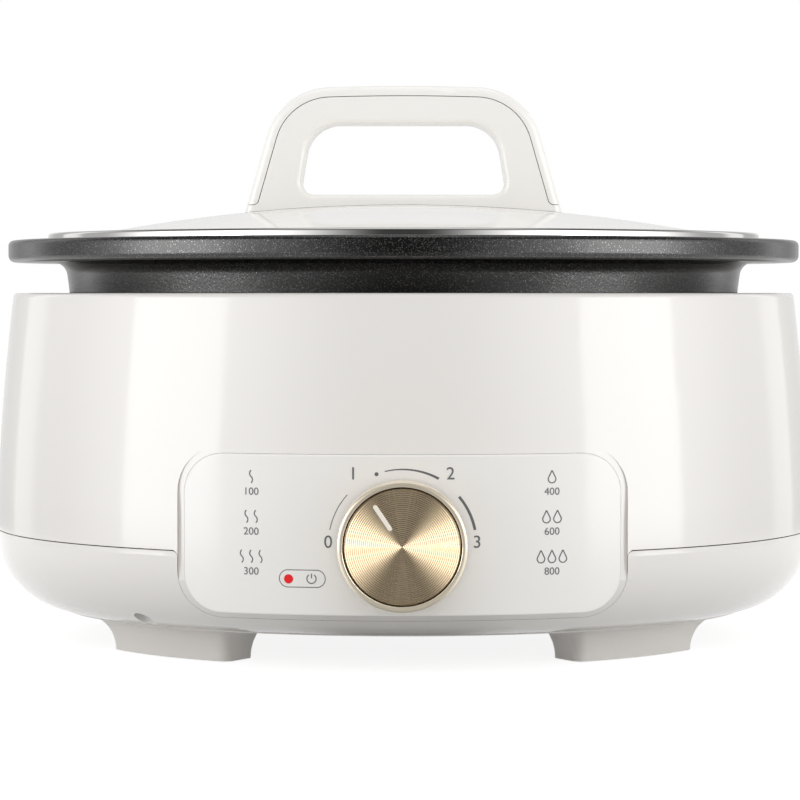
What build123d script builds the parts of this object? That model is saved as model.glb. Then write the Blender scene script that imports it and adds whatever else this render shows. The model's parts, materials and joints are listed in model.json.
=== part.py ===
from build123d import *
import os
from math import asin, cos, degrees, radians, sin, sqrt

# Electric hot pot: a round two-shell body, a lift-out pot on a sprung-sensor hot plate, and a lift-off
# domed lid with an arched handle. Millimetres, +Z up, the ground at Z = 0, the front towards -Y.
# Everything is drawn about the pot's own axis; export() moves it so that the whole stands centred.

# ---------------------------------------------------------------- driving sizes: body
belly_radius = 171.7       # widest radius of the body
body_top = 144.7           # height of the deck round the pot
rim_in = 7.1               # from the widest radius to the body at the deck
rim_radius = belly_radius - rim_in
corner_radius = 31.0       # round between side and underside
corner_start = 44.2        # height where that round meets the side
corner_sweep = 88.0        # degrees of it, from the side
lean_start = 57.4          # height where the side starts to lean in
lean_blend = 82.5          # radius of the blend into the lean
lean_turn = 2.6            # degrees turned by that blend
wall = 2.6                 # moulded wall
deck_thick = 3.0
deck_round = 2.0
well_radius = 143.0        # opening in the deck
lip_thick = 1.2
seam_height = 46.3         # line between upper and lower shell
seam_gap = 0.4
seam_turn = 2.4            # radius where the seam turns down beside the panel
tongue_height = 3.0
tongue_thick = 1.2
base_in = 25.5             # from the widest radius to the edge of the lower shell underneath
base_radius = belly_radius - base_in
fit_gap = 0.1              # between parts that lie against each other
run_gap = 0.05             # round a shaft that turns
root = 0.5                 # how far a boss or rib runs into what it grows from
rib_thick = 1.8

# ---------------------------------------------------------------- bottom cover and feet
cover_bottom = 13.22
cover_thick = 2.6
cover_gap = 0.5
flange_under = 16.0        # height of the inner flange that the cover meets
flange_thick = 2.4
flange_width = 8.8         # from the underside's edge
flange_inner = base_radius - flange_width
foot_lift = 0.3            # the pads stand this far below the feet
foot_inset = 9.7           # from the underside's edge
foot_outer = base_radius - foot_inset
foot_width = 19.5
foot_inner = foot_outer - foot_width
foot_half_angle = 14.8
foot_corner = 4.0
foot_flare_out = 8.8
foot_flare_in = 6.0
foot_flare_end = 8.0
foot_root = 0.25           # how far the flare runs on into the cover
foot_azimuths = (45, 135, 225, 315)
pad_margin = 4.0
pad_sink = 2.0
vent_slots = 12
vent_radius = 60.0
vent_length = 26.0
vent_width = 3.0

# ---------------------------------------------------------------- fasteners
pilot_radius = 1.5         # hole in a boss that a screw cuts into
shank_radius = 1.45        # screw drawn without its thread
screw_hole = 2.2           # clearance hole
screw_slot = 0.9           # arms of the cross recess
screw_head = 3.8
screw_head_high = 2.4
post_radius = 4.5
post_inset = 16.2          # from the widest radius to the long posts
post_ring = belly_radius - post_inset
post_azimuths = (229.6, 349.6, 109.6)   # from +X, 120 degrees apart
access_radius = 4.3        # screw wells in the lower shell
access_wall = 2.0
access_floor = 24.0
access_floor_thick = 3.0
post_screw_reach = 14.0    # length of a long post's screw inside the post
cover_screw_inset = 4.8    # from the underside's edge
cover_screw_ring = base_radius - cover_screw_inset
cover_boss_radius = 3.6
cover_boss_high = 8.0      # above the inner flange
cover_screw_azimuths = (0, 90, 180, 270)
sunk_head = 3.6            # countersunk heads in the bottom cover
sunk_depth = 2.0

# ---------------------------------------------------------------- control panel
panel_half_width = 83.3
panel_low = 23.2
panel_high = 84.0
panel_corner = 15.0
panel_inset = 0.3          # of its convex face, from the widest radius
panel_radius = round(belly_radius - panel_inset, 3)
panel_edge = 0.8           # round of its front edge
channel_width = 2.7
channel_inset = 1.4        # of the floor of the channel round it
channel_radius = round(belly_radius - channel_inset, 3)
recess_inset = 3.1         # of the floor under it
recess_radius = belly_radius - recess_inset
apron_wall = 2.6
apron_overlap = 1.5        # of the apron behind the channel's outer edge

# ---------------------------------------------------------------- knob and rotary switch
knob_height = 50.4
knob_radius = 24.45
knob_depth = 13.7
knob_back_gap = 0.5
knob_rim = 2.7             # of the skirt, round the face
knob_face_radius = knob_radius - knob_rim
knob_face_thick = 1.6
knob_skirt_thick = 2.2
knob_wall = 2.4
knob_edge = 1.3            # round of the skirt's front edge
knob_inner_edge = 0.35     # round of its inner edge, beside the face
face_edge = 0.35           # chamfer of the face
pointer_floor = 0.6        # face metal left under the pointer
hub_radius = 5.6
shaft_radius = 3.0
shaft_flat = 1.0
shaft_end = 1.0            # hub left in front of the shaft
shaft_sink = 7.5           # how far the shaft reaches into the switch
pointer_angle = 124.0      # from +X, seen from the front, at rest
pointer_near = 7.4
pointer_far = 18.7
pointer_width = 1.7
pointer_proud = 0.45
pointer_round = 0.4
bushing_radius = 4.5
nut_across = 12.0
nut_thick = 2.4
switch_width = 28.0
switch_depth = 15.0
bracket_thick = 1.2
bracket_width = 36.0
bushing_gap = 0.2
nut_pocket = 8.6           # clearance round the nut, in the panel and the wall behind it
nut_sink = 0.6
blade_pitch = 8.0          # the switch's tabs
blade_width = 6.3
blade_thick = 0.8
blade_long = 4.6

# ---------------------------------------------------------------- indicator
lamp_x = -42.9
lamp_z = 37.0
lens_radius = 1.65
lens_proud = 0.15
lens_flange = 3.0
led_radius = 1.5
board_width = 22.0
board_height = 12.0
board_thick = 1.6
board_back = 7.0           # from the panel wall's inside to the board
board_post = 2.2           # radius of the posts that hold it
board_post_edge = 3.5      # from the board's ends to its posts
lens_flange_thick = 1.4

# ---------------------------------------------------------------- power inlet, at the rear
inlet_height = 72.0
inlet_width = 46.0
inlet_high = 30.0
inlet_plate = 1.8
inlet_inset = 3.2          # of its seat, from the widest radius
inlet_face = belly_radius - inlet_inset
socket_width = 27.0
socket_high = 17.0
socket_wall = 1.8
socket_depth = 18.0
inlet_corner = 4.0
pin_radius = 2.0
pin_length = 11.0
pin_spread = 8.0
pin_low = 2.0              # the outer pins, below the middle of the socket
pin_raise = 3.0            # the earth pin, above it
pin_tail = 4.0             # behind the socket's floor
inlet_gap = 0.3            # round the socket in the shell
inlet_margin = 5.0         # of the flat seat round the plate
inlet_screw_hole = 1.7
inlet_screw_head = 2.6
inlet_screw_head_high = 1.5
inlet_screw_shank = 1.15
inlet_screw_long = 9.0
terminal_x = -44.0
terminal_y = 92.0
terminal_long = 34.0
terminal_wide = 16.0
terminal_high = 11.0
terminal_pitch = 11.0
terminal_well = 2.4

# ---------------------------------------------------------------- liner, hot plate and sensor
liner_wall = 0.8
liner_gap = 0.6            # liner radius beyond the deck opening
liner_floor = 45.0         # underside
liner_corner = 30.0
liner_rim_drop = 7.7       # from the deck
liner_rim_height = body_top - liner_rim_drop
liner_rim_out = 6.4
liner_boss_radius = 3.0
liner_screw_head = 3.0
liner_screw_head_high = 1.6
liner_screw_azimuths = (45, 135, 225, 315)
plate_radius = 80.0
plate_thick = 9.0
plate_hole = 14.0
plate_edge = 1.2
plate_screw_reach = 5.0    # length of its screws inside it
element_ring = 62.0
element_radius = 3.4
element_open = 36.0        # degrees between its two ends
element_bend = 9.0
element_clear = 1.8        # round its ends in the liner's floor
element_end = 34.0         # height of the cold ends
support_ring = 40.0
support_radius = 5.0
support_azimuths = (90, 210, 330)
sensor_cap_radius = 11.0
sensor_cap_thick = 3.5
sensor_stem = 2.9
sensor_tube = 8.0
sensor_tube_wall = 1.4
sensor_tube_top = 56.0
sensor_tube_low = 40.0
sensor_floor = 1.6
sensor_flange = 5.0
sensor_flange_thick = 1.2
sensor_stem_low = 5.5      # below the housing
sensor_cap_edge = 0.8
clip_drop = 3.0            # from the housing to the clip
spring_radius = 5.0
spring_wire = 0.6
spring_turns = 5
clip_radius = 4.6
clip_thick = 1.0
fuse_radius = 2.2
fuse_length = 16.0
fuse_lead = 0.5
fuse_x = 30.0
strap_thick = 1.0
strap_width = 8.0
strap_foot = 5.0

# ---------------------------------------------------------------- pot
pot_floor = 64.0           # underside, on the hot plate
pot_wall = 2.6
pot_base = 3.6             # its floor, thicker than its wall
pot_corner = 28.0
pot_low_radius = 139.2     # wall radius at the top of the corner
pot_neck_radius = 141.2    # wall radius at the deck
pot_throat_radius = 142.9  # wall radius under the flange
pot_throat_round = 6.0
pot_neck_round = 60.0
throat_flare = 2.2         # from the throat's inside to the lid's seat
flange_clear = 12.8        # from the deck to the flange, room for fingers
flange_low = body_top + flange_clear
flange_height = 9.1
flange_high = flange_low + flange_height
flange_radius = 166.8
flange_low_round = 2.8
flange_high_round = 2.2
seat_drop = 5.8            # from the flange to the step that the lid stands on
seat_height = flange_high - seat_drop
seat_radius = 151.6
seat_edge_high = 1.2
seat_edge_low = 0.8

# ---------------------------------------------------------------- lid
lid_radius = 150.2
lid_band_proud = 3.0       # above the flange
lid_band_high = flange_high + lid_band_proud
lid_band_thick = 0.9
lid_band_round = 1.3
lid_crest_in = 3.2         # from the band's outside to its highest turn
lid_crest_round = 1.5
lid_curl_round = 0.6
lid_lip_inner = 143.6
lid_curl_inner = 145.2
glass_rise = 12.3          # from the band to the middle of the dome
glass_apex = lid_band_high + glass_rise
glass_sphere = 680.0
glass_thick = 3.5
glass_gap = 0.2
vent_y = 100.0
vent_hole = 5.0
vent_lip = 8.0
vent_lip_thick = 1.4
vent_lip_round = 0.8
vent_bore = 2.2

# ---------------------------------------------------------------- lid handle
handle_high = 49.8         # above the dome
handle_top = glass_apex + handle_high
handle_half_base = 66.5
handle_base_drop = 2.7     # from the dome's middle to where the outline meets the dome
handle_base = glass_apex - handle_base_drop
handle_lean = 0.287        # inward lean of its sides, as a slope
handle_round = 28.0
handle_crown = 950.0       # radius of the slight arch of the top
handle_depth = 32.0
handle_edge = 3.2          # round of the front and back edges
handle_over = 12.0         # how far its outline is drawn past its ends before it is cut
window_sill = 4.1          # above the dome
window_low = glass_apex + window_sill
window_rise = 30.1
window_high = window_low + window_rise
window_half_low = 43.9
window_lean = 0.165
window_round_high = 14.5
window_round_low = 5.5
window_edge = 2.4
strip_thick = 4.1
strip_low = glass_apex
strip_turn = 2.4
strip_gap = 0.3
handle_screw_x = 55.0
handle_screw_radius = 2.5
handle_screw_deep = 14.0
handle_screw_hole = 3.5    # in the glass
handle_screw_head = 5.0
handle_screw_head_high = 3.2
washer_radius = 7.0
washer_thick = 1.2

# ---------------------------------------------------------------- values worked out from the above
tall = 300.0               # longer than anything that is cut
clear_front = belly_radius + 28.3   # distance that is clear of the body in front
knob_back = panel_radius + knob_back_gap
knob_front = knob_back + knob_depth
centre_shift = (knob_front + pointer_proud - belly_radius) / 2
corner_centre = belly_radius - corner_radius
panel_middle = (panel_low + panel_high) / 2
plate_top = pot_floor
plate_low = plate_top - plate_thick
liner_radius = well_radius + liner_gap
liner_inside = liner_floor + liner_wall
deck_under = body_top - deck_thick
foot_span = cover_bottom + foot_root - foot_lift
apron_inset = belly_radius - recess_radius + apron_wall
shift = Pos(0, centre_shift, 0)


# ---------------------------------------------------------------- helpers
def outline(*points):
    """Flat face with straight sides."""
    return make_face(Polyline(*points, close=True))


def rounded(face, *corners):
    """Round some corners of a flat face, each given as (x, y, radius)."""
    for x, y, radius in corners:
        near = face.vertices().sort_by_distance(Vector(x, y, 0))[0]
        face = fillet(near, radius)
    return face


def turned(face):
    """Solid of revolution about the pot's axis, from a face drawn as (radius, height)."""
    return revolve(Plane.XZ * face, Axis.Z, 360)


def ring(inner, outer, low, high):
    return turned(outline((inner, low), (outer, low), (outer, high), (inner, high)))


def rod(radius, low, high, x=0.0, y=0.0):
    """Upright cylinder."""
    return Pos(x, y, low) * Cylinder(radius, high - low, align=(Align.CENTER, Align.CENTER, Align.MIN))


def front_rod(radius, near, far, x=0.0, z=0.0):
    """Cylinder along Y, between two distances in front of the axis."""
    along = Cylinder(radius, far - near, align=(Align.CENTER, Align.CENTER, Align.MIN))
    return Plane((x, -near, z), z_dir=(0, -1, 0)) * along


def rear_box(width, high, near, far, x=0.0, z=0.0):
    """Block along Y, between two distances behind the axis."""
    return Pos(x, (near + far) / 2, z) * Box(width, far - near, high)


def front_prism(face, near=110.0, far=clear_front):
    """Extrude a face drawn as (x, z) forwards, between two distances in front of the axis."""
    return extrude(Plane.XZ.offset(near) * face, far - near)


def polar(radius, azimuth):
    return radius * cos(radians(azimuth)), radius * sin(radians(azimuth))


def at_each(shape, azimuths):
    """Copies of a shape drawn on the +X side, turned about the axis."""
    return [Rot(0, 0, azimuth) * shape for azimuth in azimuths]


# ---------------------------------------------------------------- body shells
def body_solid(inset=0.0):
    """The body's whole form, moved in by inset, from its underside to the deck."""
    belly = belly_radius - inset
    round_radius = corner_radius - inset
    corner = CenterArc((corner_centre, corner_start), round_radius, -corner_sweep, corner_sweep)
    side = Line((belly, corner_start), (belly, lean_start))
    blend = JernArc((belly, lean_start), (0, 1), lean_blend, lean_turn)
    lean = TangentArc(blend @ 1, (rim_radius - inset, body_top), tangent=blend % 1)
    low = corner @ 0
    closing = Polyline((rim_radius - inset, body_top), (0, body_top), (0, low.Y), (low.X, low.Y))
    return turned(make_face([corner, side, blend, lean, closing]))


def window(grow=0.0):
    """The control panel's outline, grown all round."""
    width = 2 * (panel_half_width + grow)
    high = panel_high - panel_low + 2 * grow
    return Pos(0, panel_middle) * RectangleRounded(width, high, panel_corner + grow)


def upper_zone(back, side):
    """Front view of what belongs to the upper shell: above the seam, and round the panel."""
    edge = seam_height + back
    above = Pos(0, (edge + tall) / 2) * Rectangle(2 * tall, tall - edge)
    grow = channel_width - side
    reach = panel_half_width + grow
    turn = seam_turn + back
    return rounded(above + window(grow), (-reach, edge, turn), (reach, edge, turn))


def panel_seat(grow=0.0):
    """What the panel lies on: the recess floor, and the body's own round below it."""
    return rod(recess_radius + grow, 0, body_top) & body_solid(-grow)


def above_seam(height):
    return rod(tall, height, tall)


def make_upper_shell():
    back = seam_gap / 2
    outer = body_solid()
    top_edge = outer.edges().filter_by(GeomType.CIRCLE).group_by(Axis.Z)[-1]
    outer = fillet(top_edge, deck_round)
    zone = front_prism(upper_zone(back, fit_gap / 2))
    shell = (outer - (body_solid(wall) & rod(tall, 0, deck_under))) & above_seam(seam_height + back)
    # the apron behind the panel reaches down into the lower shell's cut-out
    apron = (outer - body_solid(apron_inset)) & front_prism(window(channel_width + apron_overlap))
    shell += apron & zone
    shell -= front_prism(window(channel_width)) - rod(channel_radius, 0, tall)
    shell -= front_prism(window(fit_gap)) - rod(recess_radius, 0, tall)
    shell -= rod(well_radius, 0, tall)
    shell += ring(well_radius, well_radius + lip_thick, liner_rim_height + liner_wall + fit_gap, deck_under)
    # bosses for the liner, and long posts that carry the lower shell
    boss_x = liner_radius + liner_wall + liner_rim_out / 2
    boss = rod(liner_boss_radius, liner_rim_height + liner_wall, deck_under + root, boss_x)
    boss -= rod(pilot_radius, liner_rim_height, deck_under, boss_x)
    rib_long = rim_radius - wall / 2 - post_ring
    rib_mid = post_ring + rib_long / 2
    rib = Pos(rib_mid, 0, (deck_under + lean_start) / 2) * Box(rib_long, rib_thick, deck_under - lean_start)
    post_low = access_floor + access_floor_thick
    post = rod(post_radius, post_low, deck_under + root, post_ring) + rib
    post -= rod(pilot_radius, post_low - 1, post_low + post_screw_reach + 2, post_ring)
    for piece in at_each(boss, liner_screw_azimuths) + at_each(post, post_azimuths):
        shell += piece
    # seat for the power inlet
    pad = rear_box(inlet_width + 2 * inlet_margin, inlet_high + 2 * inlet_margin,
                   inlet_face - wall, tall, z=inlet_height)
    shell += pad & body_solid(wall / 2)
    shell -= rear_box(inlet_width + 2 * seam_gap, inlet_high + 2 * seam_gap, inlet_face, tall, z=inlet_height)
    hole_width = socket_width + 2 * (socket_wall + inlet_gap)
    hole_high = socket_high + 2 * (socket_wall + inlet_gap)
    shell -= rear_box(hole_width, hole_high, well_radius, tall, z=inlet_height)
    for place in inlet_screw_places(inlet_face):
        shell -= place * Cylinder(inlet_screw_shank + run_gap, 4 * inlet_screw_long)
    # holes for the switch and the indicator
    shell -= front_rod(bushing_radius + bushing_gap, base_radius, tall, z=knob_height)
    shell -= front_rod(nut_pocket, recess_radius - nut_sink, tall, z=knob_height)
    shell -= front_rod(lens_radius + fit_gap, base_radius - 10, tall, x=lamp_x, z=lamp_z)
    shell += board_posts()
    return shell


def board_posts():
    """Two posts that hold the indicator's board behind the panel wall."""
    back = board_front()
    reach = board_width / 2 - board_post_edge
    posts = [front_rod(board_post, back, recess_radius - 1, x=lamp_x + x, z=lamp_z) for x in (-reach, reach)]
    return (posts[0] + posts[1]) & body_solid(wall)


def make_lower_shell():
    back = seam_gap / 2
    seam = seam_height - back
    shell = (body_solid() - body_solid(wall)) & rod(tall, 0, seam)
    shell -= rod(base_radius, 0, tall)
    inside = body_solid(wall / 2)
    shell += ring(flange_inner, base_radius + 4, flange_under, flange_under + flange_thick) & inside
    tongue_out = belly_radius - wall - 0.2
    tongue = ring(tongue_out - tongue_thick, tongue_out, seam - tongue_height, seam + tongue_height)
    shell += tongue + ring(tongue_out - 0.5, belly_radius - wall / 2, seam - tongue_height, seam)
    well = rod(access_radius + access_wall, flange_under, access_floor + access_floor_thick, post_ring)
    boss = rod(cover_boss_radius, flange_under + root, flange_under + cover_boss_high, cover_screw_ring)
    for piece in at_each(well, post_azimuths) + at_each(boss, cover_screw_azimuths):
        shell += piece & inside
    hole = rod(access_radius, 0, access_floor, post_ring)
    hole += rod(screw_hole, 0, tall, post_ring)
    pilot = rod(pilot_radius, 0, flange_under + cover_boss_high - 1, cover_screw_ring)
    for piece in at_each(hole, post_azimuths) + at_each(pilot, cover_screw_azimuths):
        shell -= piece
    # the seam turns down beside the panel: only what lies outside that line is kept
    edge = upper_zone(-back, -fit_gap / 2)
    shell -= front_prism(edge, near=60)
    return shell


def foot_section(height):
    """Outline of a foot at a height: a sector that flares out towards the cover."""
    rise = min((height - foot_lift) / foot_span, 1.0)
    flare = 1 - sqrt(1 - rise * rise)
    outer = foot_outer + foot_flare_out * flare
    inner = foot_inner - foot_flare_in * flare
    half = foot_half_angle + degrees(foot_flare_end * flare / foot_outer)
    corner = foot_corner + 2 * flare
    a, b = polar(inner, -half), polar(outer, -half)
    c, d = polar(outer, half), polar(inner, half)
    edges = [Line(a, b), ThreePointArc(b, (outer, 0), c), Line(c, d), ThreePointArc(d, (inner, 0), a)]
    face = rounded(make_face(edges), (*b, corner), (*c, corner), (*a, corner), (*d, corner))
    return Pos(0, 0, height) * face


def make_foot():
    heights = [foot_lift + foot_span * share for share in (0, 0.35, 0.6, 0.8, 0.92, 1)]
    foot = loft([foot_section(height) for height in heights])
    return foot - pad_block(foot_lift + pad_sink)


def pad_block(top):
    """The rubber pad let into a foot, from the ground up to a height."""
    half = foot_half_angle - degrees(pad_margin / foot_outer)
    inner, outer = foot_inner + pad_margin, foot_outer - pad_margin
    a, b = polar(inner, -half), polar(outer, -half)
    c, d = polar(outer, half), polar(inner, half)
    edges = [Line(a, b), ThreePointArc(b, (outer, 0), c), Line(c, d), ThreePointArc(d, (inner, 0), a)]
    return extrude(make_face(edges), top)


def make_bottom_cover():
    cover_radius = base_radius - cover_gap
    cover = rod(cover_radius, cover_bottom, cover_bottom + cover_thick)
    cover += ring(flange_inner, cover_radius, cover_bottom + cover_thick, flange_under)
    for foot in at_each(make_foot(), foot_azimuths):
        cover += foot
    slot = Pos(vent_radius, 0, cover_bottom) * Box(vent_length, vent_width, 4 * cover_thick)
    for piece in at_each(slot, [360 * n / vent_slots for n in range(vent_slots)]):
        cover -= piece
    hole = rod(screw_hole, 0, tall, cover_screw_ring) + sunk_cone(fit_gap)
    for piece in at_each(hole, cover_screw_azimuths):
        cover -= piece
    return cover


def sunk_cone(grow=0.0):
    """Countersink in the bottom cover's underside, on the +X side."""
    cone = Cone(sunk_head + grow, shank_radius + grow, sunk_depth,
                align=(Align.CENTER, Align.CENTER, Align.MIN))
    return Pos(cover_screw_ring, 0, cover_bottom) * cone


def make_foot_pads():
    return at_each(pad_block(foot_lift + pad_sink - fit_gap), foot_azimuths)


def screw_up(x, seat, length, head=screw_head, high=screw_head_high):
    """Pan-head screw that points up, its head under the seat, on the +X side."""
    pan = rod(head, seat - high, seat, x)
    pan = chamfer(pan.edges().group_by(Axis.Z)[0], high * 0.35)
    return pan - cross_recess(x, seat - high, head) + rod(shank_radius, seat, seat + length, x)


def cross_recess(x, low, head):
    """Cross recess in a screw head whose outer face is at a height."""
    arm = 1.1 * head
    deep = 2 * screw_slot
    return Pos(x, 0, low) * (Box(arm, screw_slot, deep) + Box(screw_slot, arm, deep))


# ---------------------------------------------------------------- panel, knob, switch, indicator
def make_control_panel():
    panel = front_prism(window()) & rod(panel_radius, 0, tall)
    rim = panel.faces().filter_by(GeomType.CYLINDER).sort_by(Axis.Y)
    front = [face for face in rim if abs(face.radius - panel_radius) < 0.01]
    panel = fillet(front[0].edges(), panel_edge)
    panel -= panel_seat(fit_gap)
    panel -= rod(recess_radius - 4 * wall, 0, tall)
    panel -= front_rod(nut_pocket, base_radius, tall, z=knob_height)
    panel -= front_rod(lens_radius + fit_gap, base_radius, tall, x=lamp_x, z=lamp_z)
    return panel


def make_knob_core():
    """Plastic middle of the knob: a back plate, a hub with a D bore, and the wall that carries the face."""
    wall_radius = knob_radius - knob_skirt_thick - fit_gap
    seat = knob_front - knob_face_thick
    core = front_rod(wall_radius, knob_back, seat, z=knob_height)
    core -= front_rod(wall_radius - knob_wall, knob_back + knob_wall, tall, z=knob_height)
    core += front_rod(hub_radius, knob_back, seat, z=knob_height)
    return core - shaft_solid(knob_back - 1, seat - shaft_end, run_gap)


def shaft_solid(near, far, grow=0.0):
    """The switch shaft between two distances, with its flat at the knob's end."""
    body = front_rod(shaft_radius + grow, near, far, z=knob_height)
    flat_low = shaft_radius - shaft_flat + grow
    block = Pos(0, -(knob_back + tall) / 2 - 0.5, knob_height + flat_low + 5) * Box(20, tall - knob_back, 10)
    return body - block


def make_knob_ring():
    inner = knob_radius - knob_skirt_thick
    skirt = front_rod(knob_radius, knob_back, knob_front, z=knob_height)
    front_edge = skirt.edges().filter_by(GeomType.CIRCLE).sort_by(Axis.Y)[0]
    skirt = fillet(front_edge, knob_edge) - front_rod(inner, 0, tall, z=knob_height)
    rims = skirt.edges().filter_by(GeomType.CIRCLE).filter_by(lambda e: e.radius < inner + fit_gap)
    return fillet(rims.sort_by(Axis.Y)[0], knob_inner_edge)


def make_knob_face():
    seat = knob_front - knob_face_thick
    disc = front_rod(knob_face_radius, seat, knob_front, z=knob_height)
    front_edge = disc.edges().filter_by(GeomType.CIRCLE).sort_by(Axis.Y)[0]
    disc = chamfer(front_edge, face_edge)
    return disc - pointer_solid(seat + pointer_floor, tall, fit_gap / 2)


def pointer_solid(near, far, grow=0.0):
    long = pointer_far - pointer_near + 2 * grow
    width = pointer_width + 2 * grow
    middle = (pointer_far + pointer_near) / 2
    slot = Rot(0, 0, pointer_angle) * Pos(middle, 0) * SlotOverall(long, width)
    return front_prism(Pos(0, knob_height) * slot, near, far)


def make_knob_pointer():
    bar = pointer_solid(knob_front - knob_face_thick + pointer_floor, knob_front + pointer_proud)
    return fillet(bar.faces().sort_by(Axis.Y)[0].edges(), pointer_round)


def switch_front():
    """Distance of the switch's front face: its bracket bears on the panel wall at its lower corners."""
    return apron_distance(bracket_width / 2, knob_height - switch_width / 2) - fit_gap - bracket_thick


def make_switch_bracket():
    near = switch_front()
    plate = front_prism(Pos(0, knob_height) * RectangleRounded(bracket_width, switch_width, 2),
                        near, near + bracket_thick)
    return plate - front_rod(bushing_radius + fit_gap, 0, tall, z=knob_height)


def make_rotary_switch():
    front = switch_front()
    low = front - switch_depth
    case = front_prism(Pos(0, knob_height) * RectangleRounded(switch_width, switch_width, 3), low, front)
    case += front_rod(bushing_radius, front, recess_radius + nut_thick, z=knob_height)
    case -= front_rod(shaft_radius + run_gap, front - shaft_sink - root, tall, z=knob_height)
    for height in (-blade_pitch, 0, blade_pitch):
        blade = Box(blade_width, blade_long, blade_thick)
        case += Pos(0, -low + blade_long / 2 - root, knob_height + height) * blade
    return case


def make_switch_nut():
    seat = recess_radius - nut_sink
    blank = front_prism(Pos(0, knob_height) * RegularPolygon(nut_across / 2, 6, major_radius=False),
                        seat, seat + nut_thick)
    return blank - front_rod(bushing_radius + fit_gap / 2, 0, tall, z=knob_height)


def apron_distance(x, z):
    """Distance of the panel wall's inside from the axis, along Y, at a place on it."""
    drop = max(corner_start - z, 0.0)
    radius = corner_centre + sqrt((corner_radius - apron_inset) ** 2 - drop ** 2)
    return sqrt(radius ** 2 - x ** 2)


def board_front():
    return lamp_wall() - board_back


def lamp_face():
    """Distance of the panel's face at the lamp, along Y."""
    return sqrt(panel_radius ** 2 - lamp_x ** 2)


def lamp_wall():
    """Distance of the panel wall's inside at the lamp, along Y."""
    return apron_distance(abs(lamp_x) + lens_flange, lamp_z - lens_flange)


def make_indicator_lens():
    wall_in = lamp_wall() - fit_gap
    lens = front_rod(lens_radius, wall_in - 1, lamp_face() + lens_proud, x=lamp_x, z=lamp_z)
    return lens + front_rod(lens_flange, wall_in - lens_flange_thick, wall_in, x=lamp_x, z=lamp_z)


def make_indicator_led():
    top = lamp_wall() - lens_flange_thick - 3 * fit_gap
    body = front_rod(led_radius, board_front(), top - led_radius, x=lamp_x, z=lamp_z)
    dome = Pos(lamp_x, -(top - led_radius), lamp_z) * Sphere(led_radius)
    foot = front_rod(led_radius + 0.4, board_front(), board_front() + 1, x=lamp_x, z=lamp_z)
    return body + dome + foot


def make_indicator_board():
    back = board_front() - board_thick
    plate = Pos(lamp_x, lamp_z) * Rectangle(board_width, board_height)
    return front_prism(plate, back, board_front())


# ---------------------------------------------------------------- power inlet
def make_power_inlet():
    face = inlet_face + inlet_plate
    floor = face - socket_depth
    seat = Plane((0, inlet_face, inlet_height), x_dir=(1, 0, 0), z_dir=(0, 1, 0))
    plate = extrude(seat * RectangleRounded(inlet_width, inlet_high, inlet_corner), inlet_plate)
    outer_w, outer_h = socket_width + 2 * socket_wall, socket_high + 2 * socket_wall
    inlet = plate + rear_box(outer_w, outer_h, floor - socket_wall, face, z=inlet_height)
    inlet -= rear_box(socket_width, socket_high, floor, tall, z=inlet_height)
    for place in inlet_screw_places(inlet_face):
        inlet -= place * Cylinder(inlet_screw_hole, 4 * inlet_plate)
    for x, z in inlet_pin_places():
        inlet -= Plane((x, floor, z), z_dir=(0, 1, 0)) * Cylinder(pin_radius, 4 * socket_wall)
    return inlet


def inlet_screw_places(distance):
    """Planes square to the inlet's two screws, midway between its socket and its ends."""
    screw_x = (inlet_width + socket_width + 2 * (socket_wall + inlet_gap)) / 4
    return [Plane((x, distance, inlet_height), z_dir=(0, 1, 0)) for x in (-screw_x, screw_x)]


def inlet_pin_places():
    low, high = inlet_height - pin_low, inlet_height + pin_raise
    return [(-pin_spread, low), (0, high), (pin_spread, low)]


def make_inlet_pins():
    back = inlet_face + inlet_plate - socket_depth - socket_wall - pin_tail
    pin = rod(pin_radius, 0, pin_length + socket_wall + pin_tail)
    pin = fillet(pin.edges().group_by(Axis.Z)[-1], 0.6 * pin_radius)
    return [Plane((x, back, z), z_dir=(0, 1, 0)) * pin for x, z in inlet_pin_places()]


def make_inlet_screws():
    head = rod(inlet_screw_head, 0, inlet_screw_head_high)
    head = fillet(head.edges().group_by(Axis.Z)[-1], inlet_screw_head_high / 2)
    head -= cross_recess(0, inlet_screw_head_high, inlet_screw_head)
    screw = head + rod(inlet_screw_shank, -inlet_screw_long, 0)
    return [place * screw for place in inlet_screw_places(inlet_face + inlet_plate)]


def make_terminal_block():
    floor = cover_bottom + cover_thick
    middle = Pos(terminal_x, terminal_y, floor + terminal_high / 2)
    block = middle * Box(terminal_long, terminal_wide, terminal_high)
    for x in (-terminal_pitch, 0, terminal_pitch):
        block -= rod(terminal_well, floor + terminal_high / 2, tall, terminal_x + x, terminal_y)
    return block


# ---------------------------------------------------------------- liner, hot plate, sensor
def pan_section(radius, floor, corner, top):
    """Half-section of a straight-sided pan with a round corner."""
    return rounded(outline((0, floor), (radius, floor), (radius, top), (0, top)), (radius, floor, corner))


def make_inner_liner():
    outer_radius = liner_radius + liner_wall
    rim_top = liner_rim_height + liner_wall
    liner = turned(pan_section(outer_radius, liner_floor, liner_corner + liner_wall, rim_top))
    liner += ring(liner_radius, outer_radius + liner_rim_out, liner_rim_height, rim_top)
    liner -= turned(pan_section(liner_radius, liner_inside, liner_corner, tall))
    liner -= rod(sensor_tube + fit_gap, 0, tall)
    boss_x = outer_radius + liner_rim_out / 2
    rim_hole = rod(shank_radius + bushing_gap, liner_rim_height - root, tall, boss_x)
    floor_hole = rod(shank_radius + bushing_gap, 0, plate_low, support_ring)
    for piece in at_each(rim_hole, liner_screw_azimuths) + at_each(floor_hole, support_azimuths):
        liner -= piece
    for x, y in element_ends():
        liner -= rod(element_radius + element_clear, 0, plate_low, x, y)
    return liner


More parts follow.
